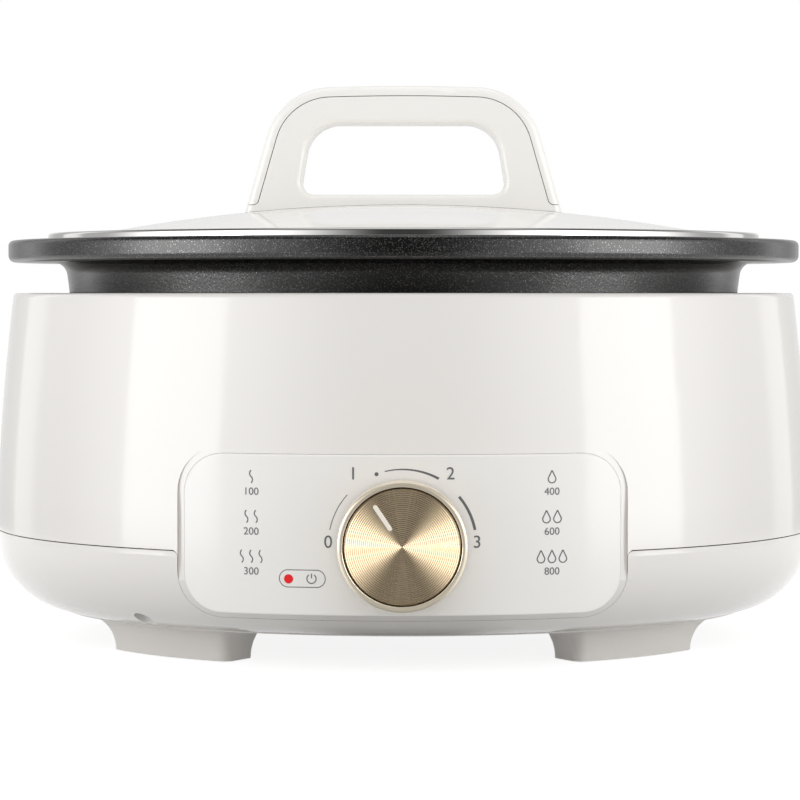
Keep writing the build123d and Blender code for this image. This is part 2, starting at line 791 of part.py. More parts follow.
def element_ends():
    """Where the element's two cold ends go down, beyond the ends of its ring."""
    half = element_open / 2
    ends = []
    for side in (-1, 1):
        azimuth = radians(90 + side * half)
        x = element_ring * cos(azimuth) + side * element_bend * sin(azimuth)
        y = element_ring * sin(azimuth) - side * element_bend * cos(azimuth)
        ends.append((x, y))
    return ends


def make_heating_element(grow=0.0):
    """Sheathed tube: a ring let into the plate's underside, and two ends that turn down."""
    radius = element_radius + grow
    half = element_open / 2
    start = 90 + half
    middle = plate_low
    x, y = polar(element_ring, start)
    heading = (-sin(radians(start)), cos(radians(start)), 0)
    section = Plane((x, y, middle), z_dir=heading) * Circle(radius)
    tube = revolve(section, Axis.Z, 360 - element_open)
    for side in (1, -1):
        azimuth = 90 + side * half
        ex, ey = polar(element_ring, azimuth)
        out = (cos(radians(azimuth)), sin(radians(azimuth)), 0)
        along = (side * sin(radians(azimuth)), -side * cos(radians(azimuth)), 0)
        end = Plane((ex, ey, middle), z_dir=along) * Circle(radius)
        pivot = Axis((ex, ey, middle - element_bend), out)
        tube += revolve(end, pivot, side * 90)
        down_x, down_y = ex + along[0] * element_bend, ey + along[1] * element_bend
        tube += rod(radius, element_end, middle - element_bend, down_x, down_y)
    return tube


def make_heating_plate():
    plate = rod(plate_radius, plate_low, plate_top)
    plate = fillet(plate.edges().group_by(Axis.Z)[-1], plate_edge)
    plate -= rod(plate_hole, 0, tall)
    groove = Torus(element_ring, element_radius + run_gap)
    plate -= Pos(0, 0, plate_low) * groove
    pilot = rod(pilot_radius, 0, plate_low + plate_screw_reach + 1, support_ring)
    for piece in at_each(pilot, support_azimuths):
        plate -= piece
    return plate


def make_plate_supports():
    column = rod(support_radius, liner_inside, plate_low, support_ring)
    column -= rod(shank_radius + bushing_gap, 0, tall, support_ring)
    return at_each(column, support_azimuths)


def make_sensor_housing():
    tube = rod(sensor_tube, sensor_tube_low, sensor_tube_top)
    tube -= rod(sensor_tube - sensor_tube_wall, sensor_tube_low + sensor_floor, tall)
    flange_top = liner_inside + sensor_flange_thick
    tube += ring(sensor_tube - root, sensor_tube + sensor_flange, liner_inside, flange_top)
    return tube - rod(sensor_stem + 2 * run_gap, 0, tall)


def make_sensor_plunger():
    cap_low = plate_top - sensor_cap_thick
    cap = rod(sensor_cap_radius, cap_low, plate_top)
    cap = fillet(cap.edges().group_by(Axis.Z)[-1], sensor_cap_edge)
    clip_top = sensor_tube_low - clip_drop
    plunger = cap + rod(sensor_stem, sensor_tube_low - sensor_stem_low, cap_low)
    return plunger + rod(clip_radius, clip_top - clip_thick, clip_top)


def make_sensor_spring():
    low = sensor_tube_low + sensor_floor
    high = plate_top - sensor_cap_thick
    rise = high - low - 2 * spring_wire - 2 * fit_gap
    path = Helix(rise / spring_turns, rise, spring_radius)
    section = Plane(path @ 0, z_dir=path % 0) * Circle(spring_wire)
    coil = sweep(section, path, is_frenet=True)
    return Pos(0, 0, low + spring_wire + fit_gap) * coil


def make_thermal_fuse():
    middle = liner_floor - fit_gap - fuse_radius
    body = Cylinder(fuse_radius, fuse_length)
    leads = Cylinder(fuse_lead, 2 * fuse_length)
    return Pos(fuse_x, 0, middle) * Rot(90, 0, 0) * (body + leads)


def make_fuse_strap():
    """Saddle strap that holds the fuse against the liner."""
    middle = liner_floor - fit_gap - fuse_radius
    inner = fuse_radius + fit_gap
    outer = inner + strap_thick
    arch = Pos(fuse_x, middle) * Circle(outer)
    arch += Pos(fuse_x, (middle + liner_floor) / 2) * Rectangle(2 * outer, liner_floor - middle)
    feet = Pos(fuse_x, liner_floor - strap_thick / 2) * Rectangle(2 * (outer + strap_foot), strap_thick)
    hollow = Pos(fuse_x, middle) * Circle(inner)
    hollow += Pos(fuse_x, (middle + liner_floor) / 2) * Rectangle(2 * inner, liner_floor - middle + 1)
    under = Pos(fuse_x, liner_floor / 2) * Rectangle(tall, liner_floor)
    return front_prism((arch + feet - hollow) & under, -strap_width / 2, strap_width / 2)


# ---------------------------------------------------------------- pot
def pot_wall_points(inset):
    """Wall line of the pot, moved in, from the top of its corner to the flange's underside."""
    return (
        (pot_low_radius - inset, pot_floor + pot_corner),
        (pot_neck_radius - inset, body_top),
        (pot_throat_radius - inset, flange_low),
    )


def make_inner_pot():
    low, neck, throat = pot_wall_points(0)
    low_in, neck_in, throat_in = pot_wall_points(pot_wall)
    floor_in = pot_floor + pot_base
    section = outline(
        (0, pot_floor), (low[0], pot_floor), low, neck, throat,
        (flange_radius, flange_low), (flange_radius, flange_high), (seat_radius, flange_high),
        (seat_radius, seat_height), (throat_in[0] + throat_flare, seat_height), throat_in, neck_in, low_in,
        (low_in[0], floor_in), (0, floor_in),
    )
    section = rounded(
        section,
        (low[0], pot_floor, pot_corner - fit_gap), (*neck, pot_neck_round), (*throat, pot_throat_round),
        (flange_radius, flange_low, flange_low_round), (flange_radius, flange_high, flange_high_round),
        (seat_radius, flange_high, seat_edge_high), (seat_radius, seat_height, seat_edge_low),
        (throat_in[0] + throat_flare, seat_height, seat_edge_low),
        (low_in[0], floor_in, pot_corner - pot_base - root),
    )
    return turned(section)


# ---------------------------------------------------------------- lid
def dome(top):
    """Everything under the lid's dome, whose crown is at a height."""
    return Pos(0, 0, top - glass_sphere) * Sphere(glass_sphere)


def dome_height(radius, top=None):
    crown = glass_apex if top is None else top
    return crown - glass_sphere + sqrt(glass_sphere ** 2 - radius ** 2)


def make_lid_panel():
    edge = lid_radius - lid_band_thick - glass_gap
    low, high = dome_height(edge, glass_apex - glass_thick), dome_height(edge)
    upper = ThreePointArc((0, glass_apex), (edge / 2, dome_height(edge / 2)), (edge, high))
    under = ThreePointArc((edge, low), (edge / 2, dome_height(edge / 2, glass_apex - glass_thick)),
                          (0, glass_apex - glass_thick))
    section = make_face([upper, Line((edge, high), (edge, low)), under,
                         Line((0, glass_apex - glass_thick), (0, glass_apex))])
    panel = turned(section)
    for x in (-handle_screw_x, handle_screw_x):
        panel -= rod(handle_screw_hole, 0, tall, x)
    return panel - vent_plane() * Cylinder(vent_hole, 8 * glass_thick)


def make_lid_rim():
    """Pressed steel band that wraps the glass edge: a C with a rolled top."""
    thick = lid_band_thick
    lip_top = dome_height(lid_lip_inner) + fit_gap + thick
    curl = seat_height + thick
    crest = lid_radius - lid_crest_in
    crest_under = lid_band_high - thick - run_gap
    section = outline(
        (lid_curl_inner, seat_height), (lid_radius, seat_height), (lid_radius, lid_band_high),
        (crest, lid_band_high), (lid_lip_inner, lip_top), (lid_lip_inner, lip_top - thick),
        (crest, crest_under), (lid_radius - thick, crest_under), (lid_radius - thick, curl),
        (lid_curl_inner, curl),
    )
    return turned(rounded(section, (lid_radius, lid_band_high, lid_band_round),
                          (lid_radius, seat_height, lid_curl_round), (crest, lid_band_high, lid_crest_round)))


def vent_plane():
    """Where the steam vent sits: on the dome towards the rear, square to it."""
    lean = degrees(asin(vent_y / glass_sphere))
    return Pos(0, vent_y, dome_height(vent_y) - glass_thick / 2) * Rot(-lean, 0, 0)


def make_steam_vent():
    half = glass_thick / 2 + fit_gap
    grommet = Cylinder(vent_hole - fit_gap, 2 * half + fit_gap)
    for side in (-1, 1):
        grommet += Pos(0, 0, side * (half + vent_lip_thick / 2)) * Cylinder(vent_lip, vent_lip_thick)
    rims = grommet.edges().filter_by(GeomType.CIRCLE).filter_by(lambda e: e.radius > vent_lip - 0.1)
    grommet = fillet([e for e in rims if abs(e.center().Z) > half + vent_lip_thick / 2], vent_lip_round)
    return vent_plane() * (grommet - Cylinder(vent_bore, 8 * glass_thick))


# ---------------------------------------------------------------- lid handle
def handle_outline():
    """Front view of the arch, from below the dome to the crown."""
    low = handle_base - handle_over
    half_low = handle_half_base + handle_lean * (handle_base - low)
    half_top = handle_half_base - handle_lean * (handle_top - handle_base)
    half_over = half_top - handle_lean * handle_over
    over = handle_top + handle_over
    arch = outline((-half_low, low), (half_low, low), (half_over, over), (-half_over, over))
    arch &= Pos(0, handle_top - handle_crown) * Circle(handle_crown)
    return rounded(arch, (half_top, handle_top, handle_round), (-half_top, handle_top, handle_round))


def handle_window():
    half_high = window_half_low - window_lean * (window_high - window_low)
    low, high = window_low, window_high
    hole = outline((-window_half_low, low), (window_half_low, low), (half_high, high), (-half_high, high))
    return rounded(hole, (-window_half_low, low, window_round_low), (window_half_low, low, window_round_low),
                   (half_high, high, window_round_high), (-half_high, high, window_round_high))


def strip_outline(grow=0.0):
    """Front view of the cover strip that wraps the arch from outside."""
    low = strip_low - grow
    above = Pos(0, (low + tall) / 2) * Rectangle(2 * tall, tall - low)
    strip = (handle_outline() & above) - offset(handle_outline(), -(strip_thick + grow))
    feet = [v for v in strip.vertices() if abs(v.Y - low) < 0.01]
    inner = sorted(feet, key=lambda v: abs(v.X))[:2]
    return fillet(inner, strip_turn + grow)


def across(face):
    """Extrude a front view by the handle's depth, centred on the axis."""
    return front_prism(face, -handle_depth / 2, handle_depth / 2)


def arch_block():
    """The whole handle as one block, with its edges rounded, standing on the dome."""
    block = across(handle_outline() - handle_window())
    edges = []
    for face in block.faces().filter_by(Axis.Y):
        edges += face.outer_wire().edges().filter_by(lambda e: e.center().Z > handle_base - handle_over / 2)
    block = fillet(edges, handle_edge)
    hole_edges = []
    for face in block.faces().filter_by(Axis.Y):
        for wire in face.inner_wires():
            hole_edges += wire.edges()
    block = fillet(hole_edges, window_edge)
    return block - dome(glass_apex + fit_gap)


def make_handle_frame():
    frame = arch_block() - across(strip_outline(strip_gap))
    deep = dome_height(handle_screw_x) + handle_screw_deep
    for x in (-handle_screw_x, handle_screw_x):
        frame -= rod(handle_screw_radius + fit_gap, 0, deep, x)
    return frame


def make_handle_cover():
    return arch_block() & across(strip_outline())


def make_handle_screws():
    screws = []
    for x in (-handle_screw_x, handle_screw_x):
        seat = dome_height(abs(x) + washer_radius, glass_apex - glass_thick) - washer_thick - fit_gap
        head = rod(handle_screw_head, seat - handle_screw_head_high, seat, x)
        head = fillet(head.edges().group_by(Axis.Z)[0], handle_screw_head_high / 2)
        head -= cross_recess(x, seat - handle_screw_head_high, handle_screw_head / 1.6)
        top = dome_height(handle_screw_x) + handle_screw_deep - 1
        screws.append(head + rod(handle_screw_radius, seat, top, x))
    return screws


def make_handle_washers():
    washers = []
    for x in (-handle_screw_x, handle_screw_x):
        low = dome_height(abs(x) + washer_radius, glass_apex - glass_thick) - washer_thick - fit_gap
        disc = rod(washer_radius, low, low + 4 * washer_thick, x)
        disc -= rod(handle_screw_radius + fit_gap, 0, tall, x)
        washers.append(disc & dome(glass_apex - glass_thick - fit_gap))
    return washers


# ---------------------------------------------------------------- fasteners of the body
def make_shell_screws():
    screw = screw_up(post_ring, access_floor, access_floor_thick + post_screw_reach)
    return at_each(screw, post_azimuths)


def make_cover_screws():
    top = flange_under + cover_boss_high - 2
    screw = sunk_cone() + rod(shank_radius, cover_bottom + 1, top, cover_screw_ring)
    return at_each(screw - cross_recess(cover_screw_ring, cover_bottom, sunk_head), cover_screw_azimuths)


def make_liner_screws():
    boss_x = liner_radius + liner_wall + liner_rim_out / 2
    reach = deck_under - liner_rim_height - root
    screw = screw_up(boss_x, liner_rim_height, reach, head=liner_screw_head, high=liner_screw_head_high)
    return at_each(screw, liner_screw_azimuths)


def make_plate_screws():
    screw = screw_up(support_ring, liner_floor, plate_low - liner_floor + plate_screw_reach)
    return at_each(screw, support_azimuths)


def make_switch_shaft():
    return shaft_solid(switch_front() - shaft_sink, knob_front - knob_face_thick - shaft_end - root)


# ---------------------------------------------------------------- export
def export(node, made):
    """Write one sub-part; several solids share a file as a group."""
    pieces = made if isinstance(made, list) else [made]
    solids = []
    for piece in pieces:
        solids += (shift * piece).solids()
    export_step(solids[0] if len(solids) == 1 else Compound(solids), f"parts/{node}.step")


SUBPARTS = {
    "upper_shell": make_upper_shell,
    "lower_shell": make_lower_shell,
    "bottom_cover": make_bottom_cover,
    "foot_pads": make_foot_pads,
    "shell_screws": make_shell_screws,
    "cover_screws": make_cover_screws,
    "inner_liner": make_inner_liner,
    "liner_screws": make_liner_screws,
    "heating_plate": make_heating_plate,
    "heating_element": make_heating_element,
    "plate_supports": make_plate_supports,
    "plate_screws": make_plate_screws,
    "sensor_housing": make_sensor_housing,
    "sensor_plunger": make_sensor_plunger,
    "sensor_spring": make_sensor_spring,
    "thermal_fuse": make_thermal_fuse,
    "fuse_strap": make_fuse_strap,
    "control_panel": make_control_panel,
    "rotary_switch": make_rotary_switch,
    "switch_bracket": make_switch_bracket,
    "switch_nut": make_switch_nut,
    "switch_shaft": make_switch_shaft,
    "knob_core": make_knob_core,
    "knob_ring": make_knob_ring,
    "knob_face": make_knob_face,
    "knob_pointer": make_knob_pointer,
    "indicator_lens": make_indicator_lens,
    "indicator_led": make_indicator_led,
    "indicator_board": make_indicator_board,
    "power_inlet": make_power_inlet,
    "inlet_pins": make_inlet_pins,
    "inlet_screws": make_inlet_screws,
    "terminal_block": make_terminal_block,
    "inner_pot": make_inner_pot,
    "lid_panel": make_lid_panel,
    "lid_rim": make_lid_rim,
    "steam_vent": make_steam_vent,
    "handle_frame": make_handle_frame,
    "handle_cover": make_handle_cover,
    "handle_screws": make_handle_screws,
    "handle_washers": make_handle_washers,
}


def main():
    os.makedirs("parts", exist_ok=True)
    for node, make in SUBPARTS.items():
        export(node, make())


main()
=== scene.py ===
import json
from math import atan2, cos, pi, radians, sin, sqrt

import bmesh
import bpy
from bpy.props import FloatProperty, FloatVectorProperty, PointerProperty
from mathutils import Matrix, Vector


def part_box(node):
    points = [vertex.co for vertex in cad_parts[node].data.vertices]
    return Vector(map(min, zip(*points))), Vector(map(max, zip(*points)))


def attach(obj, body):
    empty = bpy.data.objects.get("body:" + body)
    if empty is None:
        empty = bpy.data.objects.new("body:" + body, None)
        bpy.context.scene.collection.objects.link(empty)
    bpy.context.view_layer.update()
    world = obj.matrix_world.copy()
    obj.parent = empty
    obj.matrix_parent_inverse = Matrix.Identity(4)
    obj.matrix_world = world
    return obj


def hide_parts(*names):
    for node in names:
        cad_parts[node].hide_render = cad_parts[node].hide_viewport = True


bl_info = {
    "name": "Electric hot pot",
    "version": (1, 0, 0),
    "blender": (4, 5, 0),
    "location": "3D View > Sidebar > Hot pot",
    "description": "Pot, lid, prints and finishes of an electric hot pot, and the studio that it stands in",
    "category": "Object",
}

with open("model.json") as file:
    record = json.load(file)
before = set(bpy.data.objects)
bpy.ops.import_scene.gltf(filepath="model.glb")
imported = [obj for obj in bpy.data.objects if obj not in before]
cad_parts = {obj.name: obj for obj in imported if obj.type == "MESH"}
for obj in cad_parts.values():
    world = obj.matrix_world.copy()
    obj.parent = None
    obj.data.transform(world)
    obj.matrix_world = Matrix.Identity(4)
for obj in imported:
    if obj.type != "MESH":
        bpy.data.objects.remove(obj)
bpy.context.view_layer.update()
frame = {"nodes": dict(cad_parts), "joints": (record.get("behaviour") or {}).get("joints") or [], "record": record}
NODES = frame["nodes"]
RESTS = [m for m in frame["record"]["mounts"] if m["kind"] == "flat_face"]
AXIS_Y = sum(rest["pos_m"][1] for rest in RESTS) / len(RESTS)      # the pot's own axis, X = 0
KNOB = Vector(next(j for j in frame["joints"] if j["name"] == "knob_turn")["pos_m"])
KNOB_FACE_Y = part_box("knob_face")[0].y
UP = Vector((0, 0, 1))
FRONT = Vector((0, -1, 0))
MM = 0.001

# ---------------------------------------------------------------- pot section, millimetres from its axis
POT_FLOOR = 64.0
POT_LOW_RADIUS, POT_NECK_RADIUS, POT_THROAT_RADIUS = 139.2, 141.2, 142.9
POT_CORNER_TOP, POT_NECK, FLANGE_LOW = 92.0, 144.7, 157.5
POT_CORNER, POT_NECK_ROUND, POT_THROAT_ROUND = 27.9, 3.2, 5.0
POT_WALL, POT_BASE = 2.6, 3.6
FLANGE_RADIUS, FLANGE_HIGH = 166.8, 166.6
FLANGE_LOW_ROUND, FLANGE_HIGH_ROUND = 2.8, 2.2
SEAT_RADIUS, SEAT_HEIGHT, SEAT_ROUND = 151.6, 160.8, 0.8
THROAT_FLARE = 2.2

# ---------------------------------------------------------------- lid section
GLASS_APEX, GLASS_SPHERE, GLASS_THICK, GLASS_EDGE = 181.9, 680.0, 3.5, 149.1    # a cap of that sphere
DOME_RINGS = 24
BAND_RADIUS, BAND_LOW, BAND_HIGH, BAND_THICK = 150.2, 160.8, 169.6, 0.9
BAND_CREST, BAND_LIP, BAND_CURL = 147.0, 143.6, 145.2
BAND_CURL_ROUND, BAND_LOW_ROUND, BAND_HIGH_ROUND = 0.3, 0.6, 1.3
BAND_CREST_ROUND, BAND_LIP_ROUND = 1.2, 0.25
BAND_GAP = 0.1
VENT_Y, VENT_HOLE = 100.0, 5.0
HANDLE_SCREW_X, HANDLE_SCREW_HOLE = 55.0, 3.5

# ---------------------------------------------------------------- prints, from the knob's centre
# Labels: text, x, z. Arcs: radius, azimuth from, azimuth to, width from, width to. Dot: radius of its
# place, azimuth, its own radius. Columns: sign, x, numbers from the top.
DIAL_LABELS = (("0", -27.9, 0.6), ("1", -18.5, 26.4), ("2", 18.1, 26.4), ("3", 28.1, 0.6))
DIAL_ARCS = ((27.8, 169, 138, 0.3, 0.3), (28.2, 103.5, 61, 0.4, 1.0), (27.8, 40, 11, 1.0, 1.05))
DIAL_DOT = (28.1, 110.2, 0.75)
COLUMNS = (("waves", -57.2, ("100", "200", "300")), ("drops", 56.5, ("400", "600", "800")))
ROW_TOP, ROW_PITCH, ROW_NUMBER_DROP = 25.0, 15.1, 5.7
WAVE_RADIUS, WAVE_SWEEP, WAVE_SPREAD = 1.55, 100, 3.6
DROP_RADIUS, DROP_REACH, DROP_SPREAD = 1.45, 3.3, 4.2
PILL_CENTRE, PILL_WIDE, PILL_HIGH = (-37.7, -13.2), 17.4, 6.5
POWER_X, POWER_RADIUS, POWER_GAP, POWER_BAR_LOW = -34.2, 1.75, 35, 0.2
PILL_LINE, POWER_LINE = 0.7, 0.9       # width of their lines, as a share of the other signs'
DIGIT_SHARE = 0.73                     # height of a digit, of the font's size
STEP_LONG, STEP_TURN = 0.9, 4.0        # short steps, so that a print follows the round panel

# ---------------------------------------------------------------- modelling
TURN_STEPS = 256                       # faces round a turned piece
MERGE, SAME_CORNER = MM / 100, MM / 20 # how near points are one, and how near one is the corner sought
SMOOTH_BELOW = 32                      # degrees between faces that shade as one

# ---------------------------------------------------------------- studio
CAMERA_X, CAMERA_BACK, CAMERA_HIGH = 0.0035, 1.429, 0.1447      # metres, back from the pot's axis
CAMERA_DIP, CAMERA_TURN = 1.825, 0.2                            # degrees
IMAGE_WIDE, FOCAL_PIXELS, SENSOR = 800, 3359, 36.0
BODY_RADIUS = 0.1705                   # of the leaning side, where it reflects the lamps
BAND_NEAR, BAND_FAR = 24.1, 39.1       # azimuths on it where that reflection ends, from the front
LAMP_AWAY, LAMP_LOW, LAMP_TOP = 1.9, -0.6, 0.9      # metres from the body, and heights of its two ends


# ---------------------------------------------------------------- helpers
def linear(code):
    """Linear red, green, blue and alpha of an sRGB hex value."""
    parts = [int(code[at:at + 2], 16) / 255 for at in (1, 3, 5)]
    return [c / 12.92 if c <= 0.04045 else ((c + 0.055) / 1.055) ** 2.4 for c in parts] + [1.0]


def add(tree, kind, at, inputs=None, **settings):
    """Add a shader node with its settings; an input is set to a value or linked to a socket."""
    node = tree.nodes.new("ShaderNode" + kind)
    node.location = at
    for name, value in settings.items():
        setattr(node, name, value)
    for name, value in (inputs or {}).items():
        if isinstance(value, bpy.types.NodeSocket):
            tree.links.new(value, node.inputs[name])
        else:
            node.inputs[name].default_value = value
    return node


def start_material(name, colour, roughness, **constants):
    """A material with a Principled shader whose even values sit on its own sockets."""
    material = bpy.data.materials.new(name)
    material.use_nodes = True
    shader = material.node_tree.nodes["Principled BSDF"]
    shader.inputs["Base Color"].default_value = colour
    shader.inputs["Roughness"].default_value = roughness
    for socket, value in constants.items():
        shader.inputs[socket.replace("_", " ")].default_value = value
    return material, material.node_tree, shader


def per_metre(millimetres):
    """Scale of a pattern whose repeat is that long."""
    return 1 / (millimetres * MM)


def coat(material, *nodes):
    """Give CAD pieces their finish."""
    for node in nodes:
        mesh = NODES[node].data
        mesh.materials.clear()
        mesh.materials.append(material)


def deselect():
    """Leave edit mode and select nothing."""
    if bpy.context.object and bpy.context.object.mode != "OBJECT":
        bpy.ops.object.mode_set(mode="OBJECT")
    bpy.ops.object.select_all(action="DESELECT")


def make_only(piece):
    """Select one object alone and make it active."""
    deselect()
    piece.select_set(True)
    bpy.context.view_layer.objects.active = piece


def start_vertex(name, place):
    """A new mesh of one vertex, in edit mode."""
    deselect()
    bpy.ops.mesh.primitive_plane_add(size=MM, location=place)
    piece = bpy.context.object
    piece.name = piece.data.name = name
    bpy.ops.object.transform_apply(location=True, rotation=True, scale=True)
    bpy.ops.object.mode_set(mode="EDIT")
    bpy.ops.mesh.merge(type="CENTER")
    return piece


def select_vertices(piece, wanted):
    """Select the vertices, in edit mode, whose place passes a test."""
    bpy.ops.mesh.select_mode(type="VERT")
    bpy.ops.mesh.select_all(action="DESELECT")
    mesh = bmesh.from_edit_mesh(piece.data)
    for vertex in mesh.verts:
        vertex.select = wanted(vertex.co)
    mesh.select_flush_mode()
    bmesh.update_edit_mesh(piece.data)


def extrude_by(step):
    """Extrude what is selected in edit mode."""
    bpy.ops.mesh.extrude_region_move(TRANSFORM_OT_translate={"value": step})


def finish_piece(piece, material, body, slot, *nodes):
    """Smooth a piece, give it its finish and hang it on its body, in place of CAD nodes if any."""
    make_only(piece)
    bpy.ops.object.transform_apply(location=True, rotation=True, scale=True)
    bpy.ops.object.shade_smooth_by_angle(angle=radians(SMOOTH_BELOW))
    piece.data.materials.clear()
    piece.data.materials.append(material)
    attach(piece, body)
    if nodes:
        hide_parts(*nodes)


def apply_modifier(piece, kind, **settings):
    """Add a modifier to a piece and apply it."""
    make_only(piece)
    modifier = piece.modifiers.new(kind.title(), kind)
    for name, value in settings.items():
        setattr(modifier, name, value)
    bpy.ops.object.modifier_apply(modifier=modifier.name)


def turned(name, section):
    """A solid of revolution about the pot's axis.

    The half-section is a list of (radius, height, round) in millimetres. One vertex is extruded along it,
    its corners are rounded by vertex bevels, and the line is spun. A section that starts off the axis is
    closed.
    """
    def place(radius, height):
        return Vector((radius * MM, AXIS_Y, height * MM))

    points = [place(radius, height) for radius, height, _ in section]
    if section[0][0] > 0:
        points.append(points[0])
    piece = start_vertex(name, points[0])
    for here, there in zip(points, points[1:]):
        extrude_by(there - here)
    bpy.ops.mesh.select_all(action="SELECT")
    bpy.ops.mesh.remove_doubles(threshold=MERGE)
    for radius, height, round_radius in section:
        if round_radius:
            corner = place(radius, height)
            select_vertices(piece, lambda co: (co - corner).length < SAME_CORNER)
            segments = 3 if round_radius < 1 else 6 if round_radius < 8 else 12      # more on a large one
            bpy.ops.mesh.bevel(offset=round_radius * MM, segments=segments, profile=0.5, affect="VERTICES")
    bpy.ops.mesh.select_all(action="SELECT")
    bpy.ops.mesh.spin(steps=TURN_STEPS, angle=2 * pi, center=(0, AXIS_Y, 0), axis=UP)
    bpy.ops.mesh.select_all(action="SELECT")
    bpy.ops.mesh.remove_doubles(threshold=MERGE)
    bpy.ops.mesh.normals_make_consistent(inside=False)
    deselect()
    return piece


def bored(piece, radius, *places):
    """Cut upright round holes through a piece."""
    for x, y in places:
        deselect()
        bpy.ops.mesh.primitive_cylinder_add(vertices=48, radius=radius * MM, depth=100 * MM,
                                            location=(x * MM, AXIS_Y + y * MM, GLASS_APEX * MM))
        cutter = bpy.context.object
        apply_modifier(piece, "BOOLEAN", object=cutter, operation="DIFFERENCE", solver="EXACT")
        bpy.data.objects.remove(cutter)


# ---------------------------------------------------------------- patterns that several finishes share
def times(colour, share):
    """A colour, darker or brighter by a share."""
    return [share * c for c in colour[:3]] + [1.0]


def grained(started, pitch, detail, strength, depth):
    """Give a started material a fine even grain; sizes in millimetres."""
    material, tree, shader = started
    where = add(tree, "TexCoord", (-1100, 0)).outputs["Object"]
    grain = add(tree, "TexNoise", (-900, -150), {"Vector": where, "Scale": per_metre(pitch),
                                                "Detail": detail})
    bump = add(tree, "Bump", (-350, -150), {"Height": grain.outputs["Fac"], "Strength": strength,
                                            "Distance": depth * MM})
    tree.links.new(bump.outputs["Normal"], shader.inputs["Normal"])
    return material


def clouded(started, pitch, detail, first, second):
    """Let a started material's colour drift between two, over a pitch in millimetres."""
    material, tree, shader = started
    where = add(tree, "TexCoord", (-1100, 0)).outputs["Object"]
    cloud = add(tree, "TexNoise", (-900, 100), {"Vector": where, "Scale": per_metre(pitch),
                                               "Detail": detail})
    tint = add(tree, "MixRGB", (-400, 100), {"Fac": cloud.outputs["Fac"], "Color1": first,
                                             "Color2": second})
    tree.links.new(tint.outputs["Color"], shader.inputs["Base Color"])
    return material


def round_axis(tree, centre, axis="Z"):
    """Sockets with a point's distance from an axis plus its place along it, and that distance alone."""
    where = add(tree, "TexCoord", (-1500, 0)).outputs["Object"]
    local = add(tree, "VectorMath", (-1300, 0), {0: where, 1: centre}, operation="SUBTRACT")
    parts = add(tree, "SeparateXYZ", (-1100, 0), {0: local.outputs[0]})
    flat = {0: parts.outputs["X"], 1: parts.outputs["Y" if axis == "Z" else "Z"]}
    across = add(tree, "CombineXYZ", (-900, 0), flat)
    radius = add(tree, "VectorMath", (-700, 0), {0: across.outputs[0]}, operation="LENGTH").outputs["Value"]
    both = add(tree, "Math", (-600, 150), {0: radius, 1: parts.outputs[axis]}, operation="ADD")
    return both.outputs[0], radius


def ringed(started, pitch, detail, strength, depth, centre=(0, AXIS_Y, 0), axis="Z"):
    """Give a started material marks that run round an axis; sizes in millimetres."""
    material, tree, shader = started
    both, _ = round_axis(tree, centre, axis)
    marks = add(tree, "TexNoise", (-500, -150), {"W": both, "Scale": per_metre(pitch), "Detail": detail},
                noise_dimensions="1D")
    bump = add(tree, "Bump", (-250, -150), {"Height": marks.outputs["Fac"], "Strength": strength,
                                            "Distance": depth * MM})
    tree.links.new(bump.outputs["Normal"], shader.inputs["Normal"])
    return material


# ---------------------------------------------------------------- finishes: mouldings
def moulded_abs(name, colour, roughness, peel=0.02):
    """ABS, injection moulded in a polished tool: an even cream with sharp reflections that a faint
    orange peel makes tremble, and a sheen that changes a little from place to place."""
    material, tree, shader = start_material(name, colour, roughness, IOR=1.54)
    where = add(tree, "TexCoord", (-1100, 0)).outputs["Object"]
    flow = add(tree, "TexNoise", (-900, 200), {"Vector": where, "Scale": per_metre(60), "Detail": 2.0})
    sheen = add(tree, "MapRange", (-650, 200), {
        "Value": flow.outputs["Fac"], "From Min": 0.3, "From Max": 0.7, "To Min": 0.85 * roughness,
        "To Max": 1.15 * roughness})
    skin = add(tree, "TexNoise", (-900, -150), {"Vector": where, "Scale": per_metre(2.4), "Detail": 1.0})
    bump = add(tree, "Bump", (-350, -150), {"Height": skin.outputs["Fac"], "Strength": peel,
                                            "Distance": 0.05 * MM})
    tree.links.new(sheen.outputs["Result"], shader.inputs["Roughness"])
    tree.links.new(bump.outputs["Normal"], shader.inputs["Normal"])
    return material


def eroded_abs(name, colour):
    """ABS moulded in a spark-eroded tool: the same cream with a fine even grain, so it looks satin."""
    satin = start_material(name, colour, 0.42, IOR=1.54)
    return grained(satin, pitch=0.7, detail=3.0, strength=0.25, depth=0.06)


def black_moulding(name, colour, roughness):
    """Glass-filled black plastic: dull, with a cloudy, slightly fibrous skin."""
    material, tree, shader = start_material(name, colour, roughness)
    where = add(tree, "TexCoord", (-1100, 0)).outputs["Object"]
    fibre = add(tree, "TexNoise", (-900, 0), {"Vector": where, "Scale": per_metre(1.1), "Detail": 5.0,
                                              "Distortion": 0.8})
    sheen = add(tree, "MapRange", (-600, 150), {"Value": fibre.outputs["Fac"], "To Min": roughness - 0.12,
                                               "To Max": roughness + 0.12})
    bump = add(tree, "Bump", (-350, -150), {"Height": fibre.outputs["Fac"], "Strength": 0.2,
                                            "Distance": 0.05 * MM})
    tree.links.new(sheen.outputs["Result"], shader.inputs["Roughness"])
    tree.links.new(bump.outputs["Normal"], shader.inputs["Normal"])
    return material


def soft_rubber(name, colour, grain):
    """Moulded rubber or silicone: matt, soft at its edges, with a fine dry grain."""
    rubber = start_material(name, colour, 0.7, Specular_IOR_Level=0.35)
    return grained(rubber, pitch=grain, detail=4.0, strength=0.3, depth=0.05)


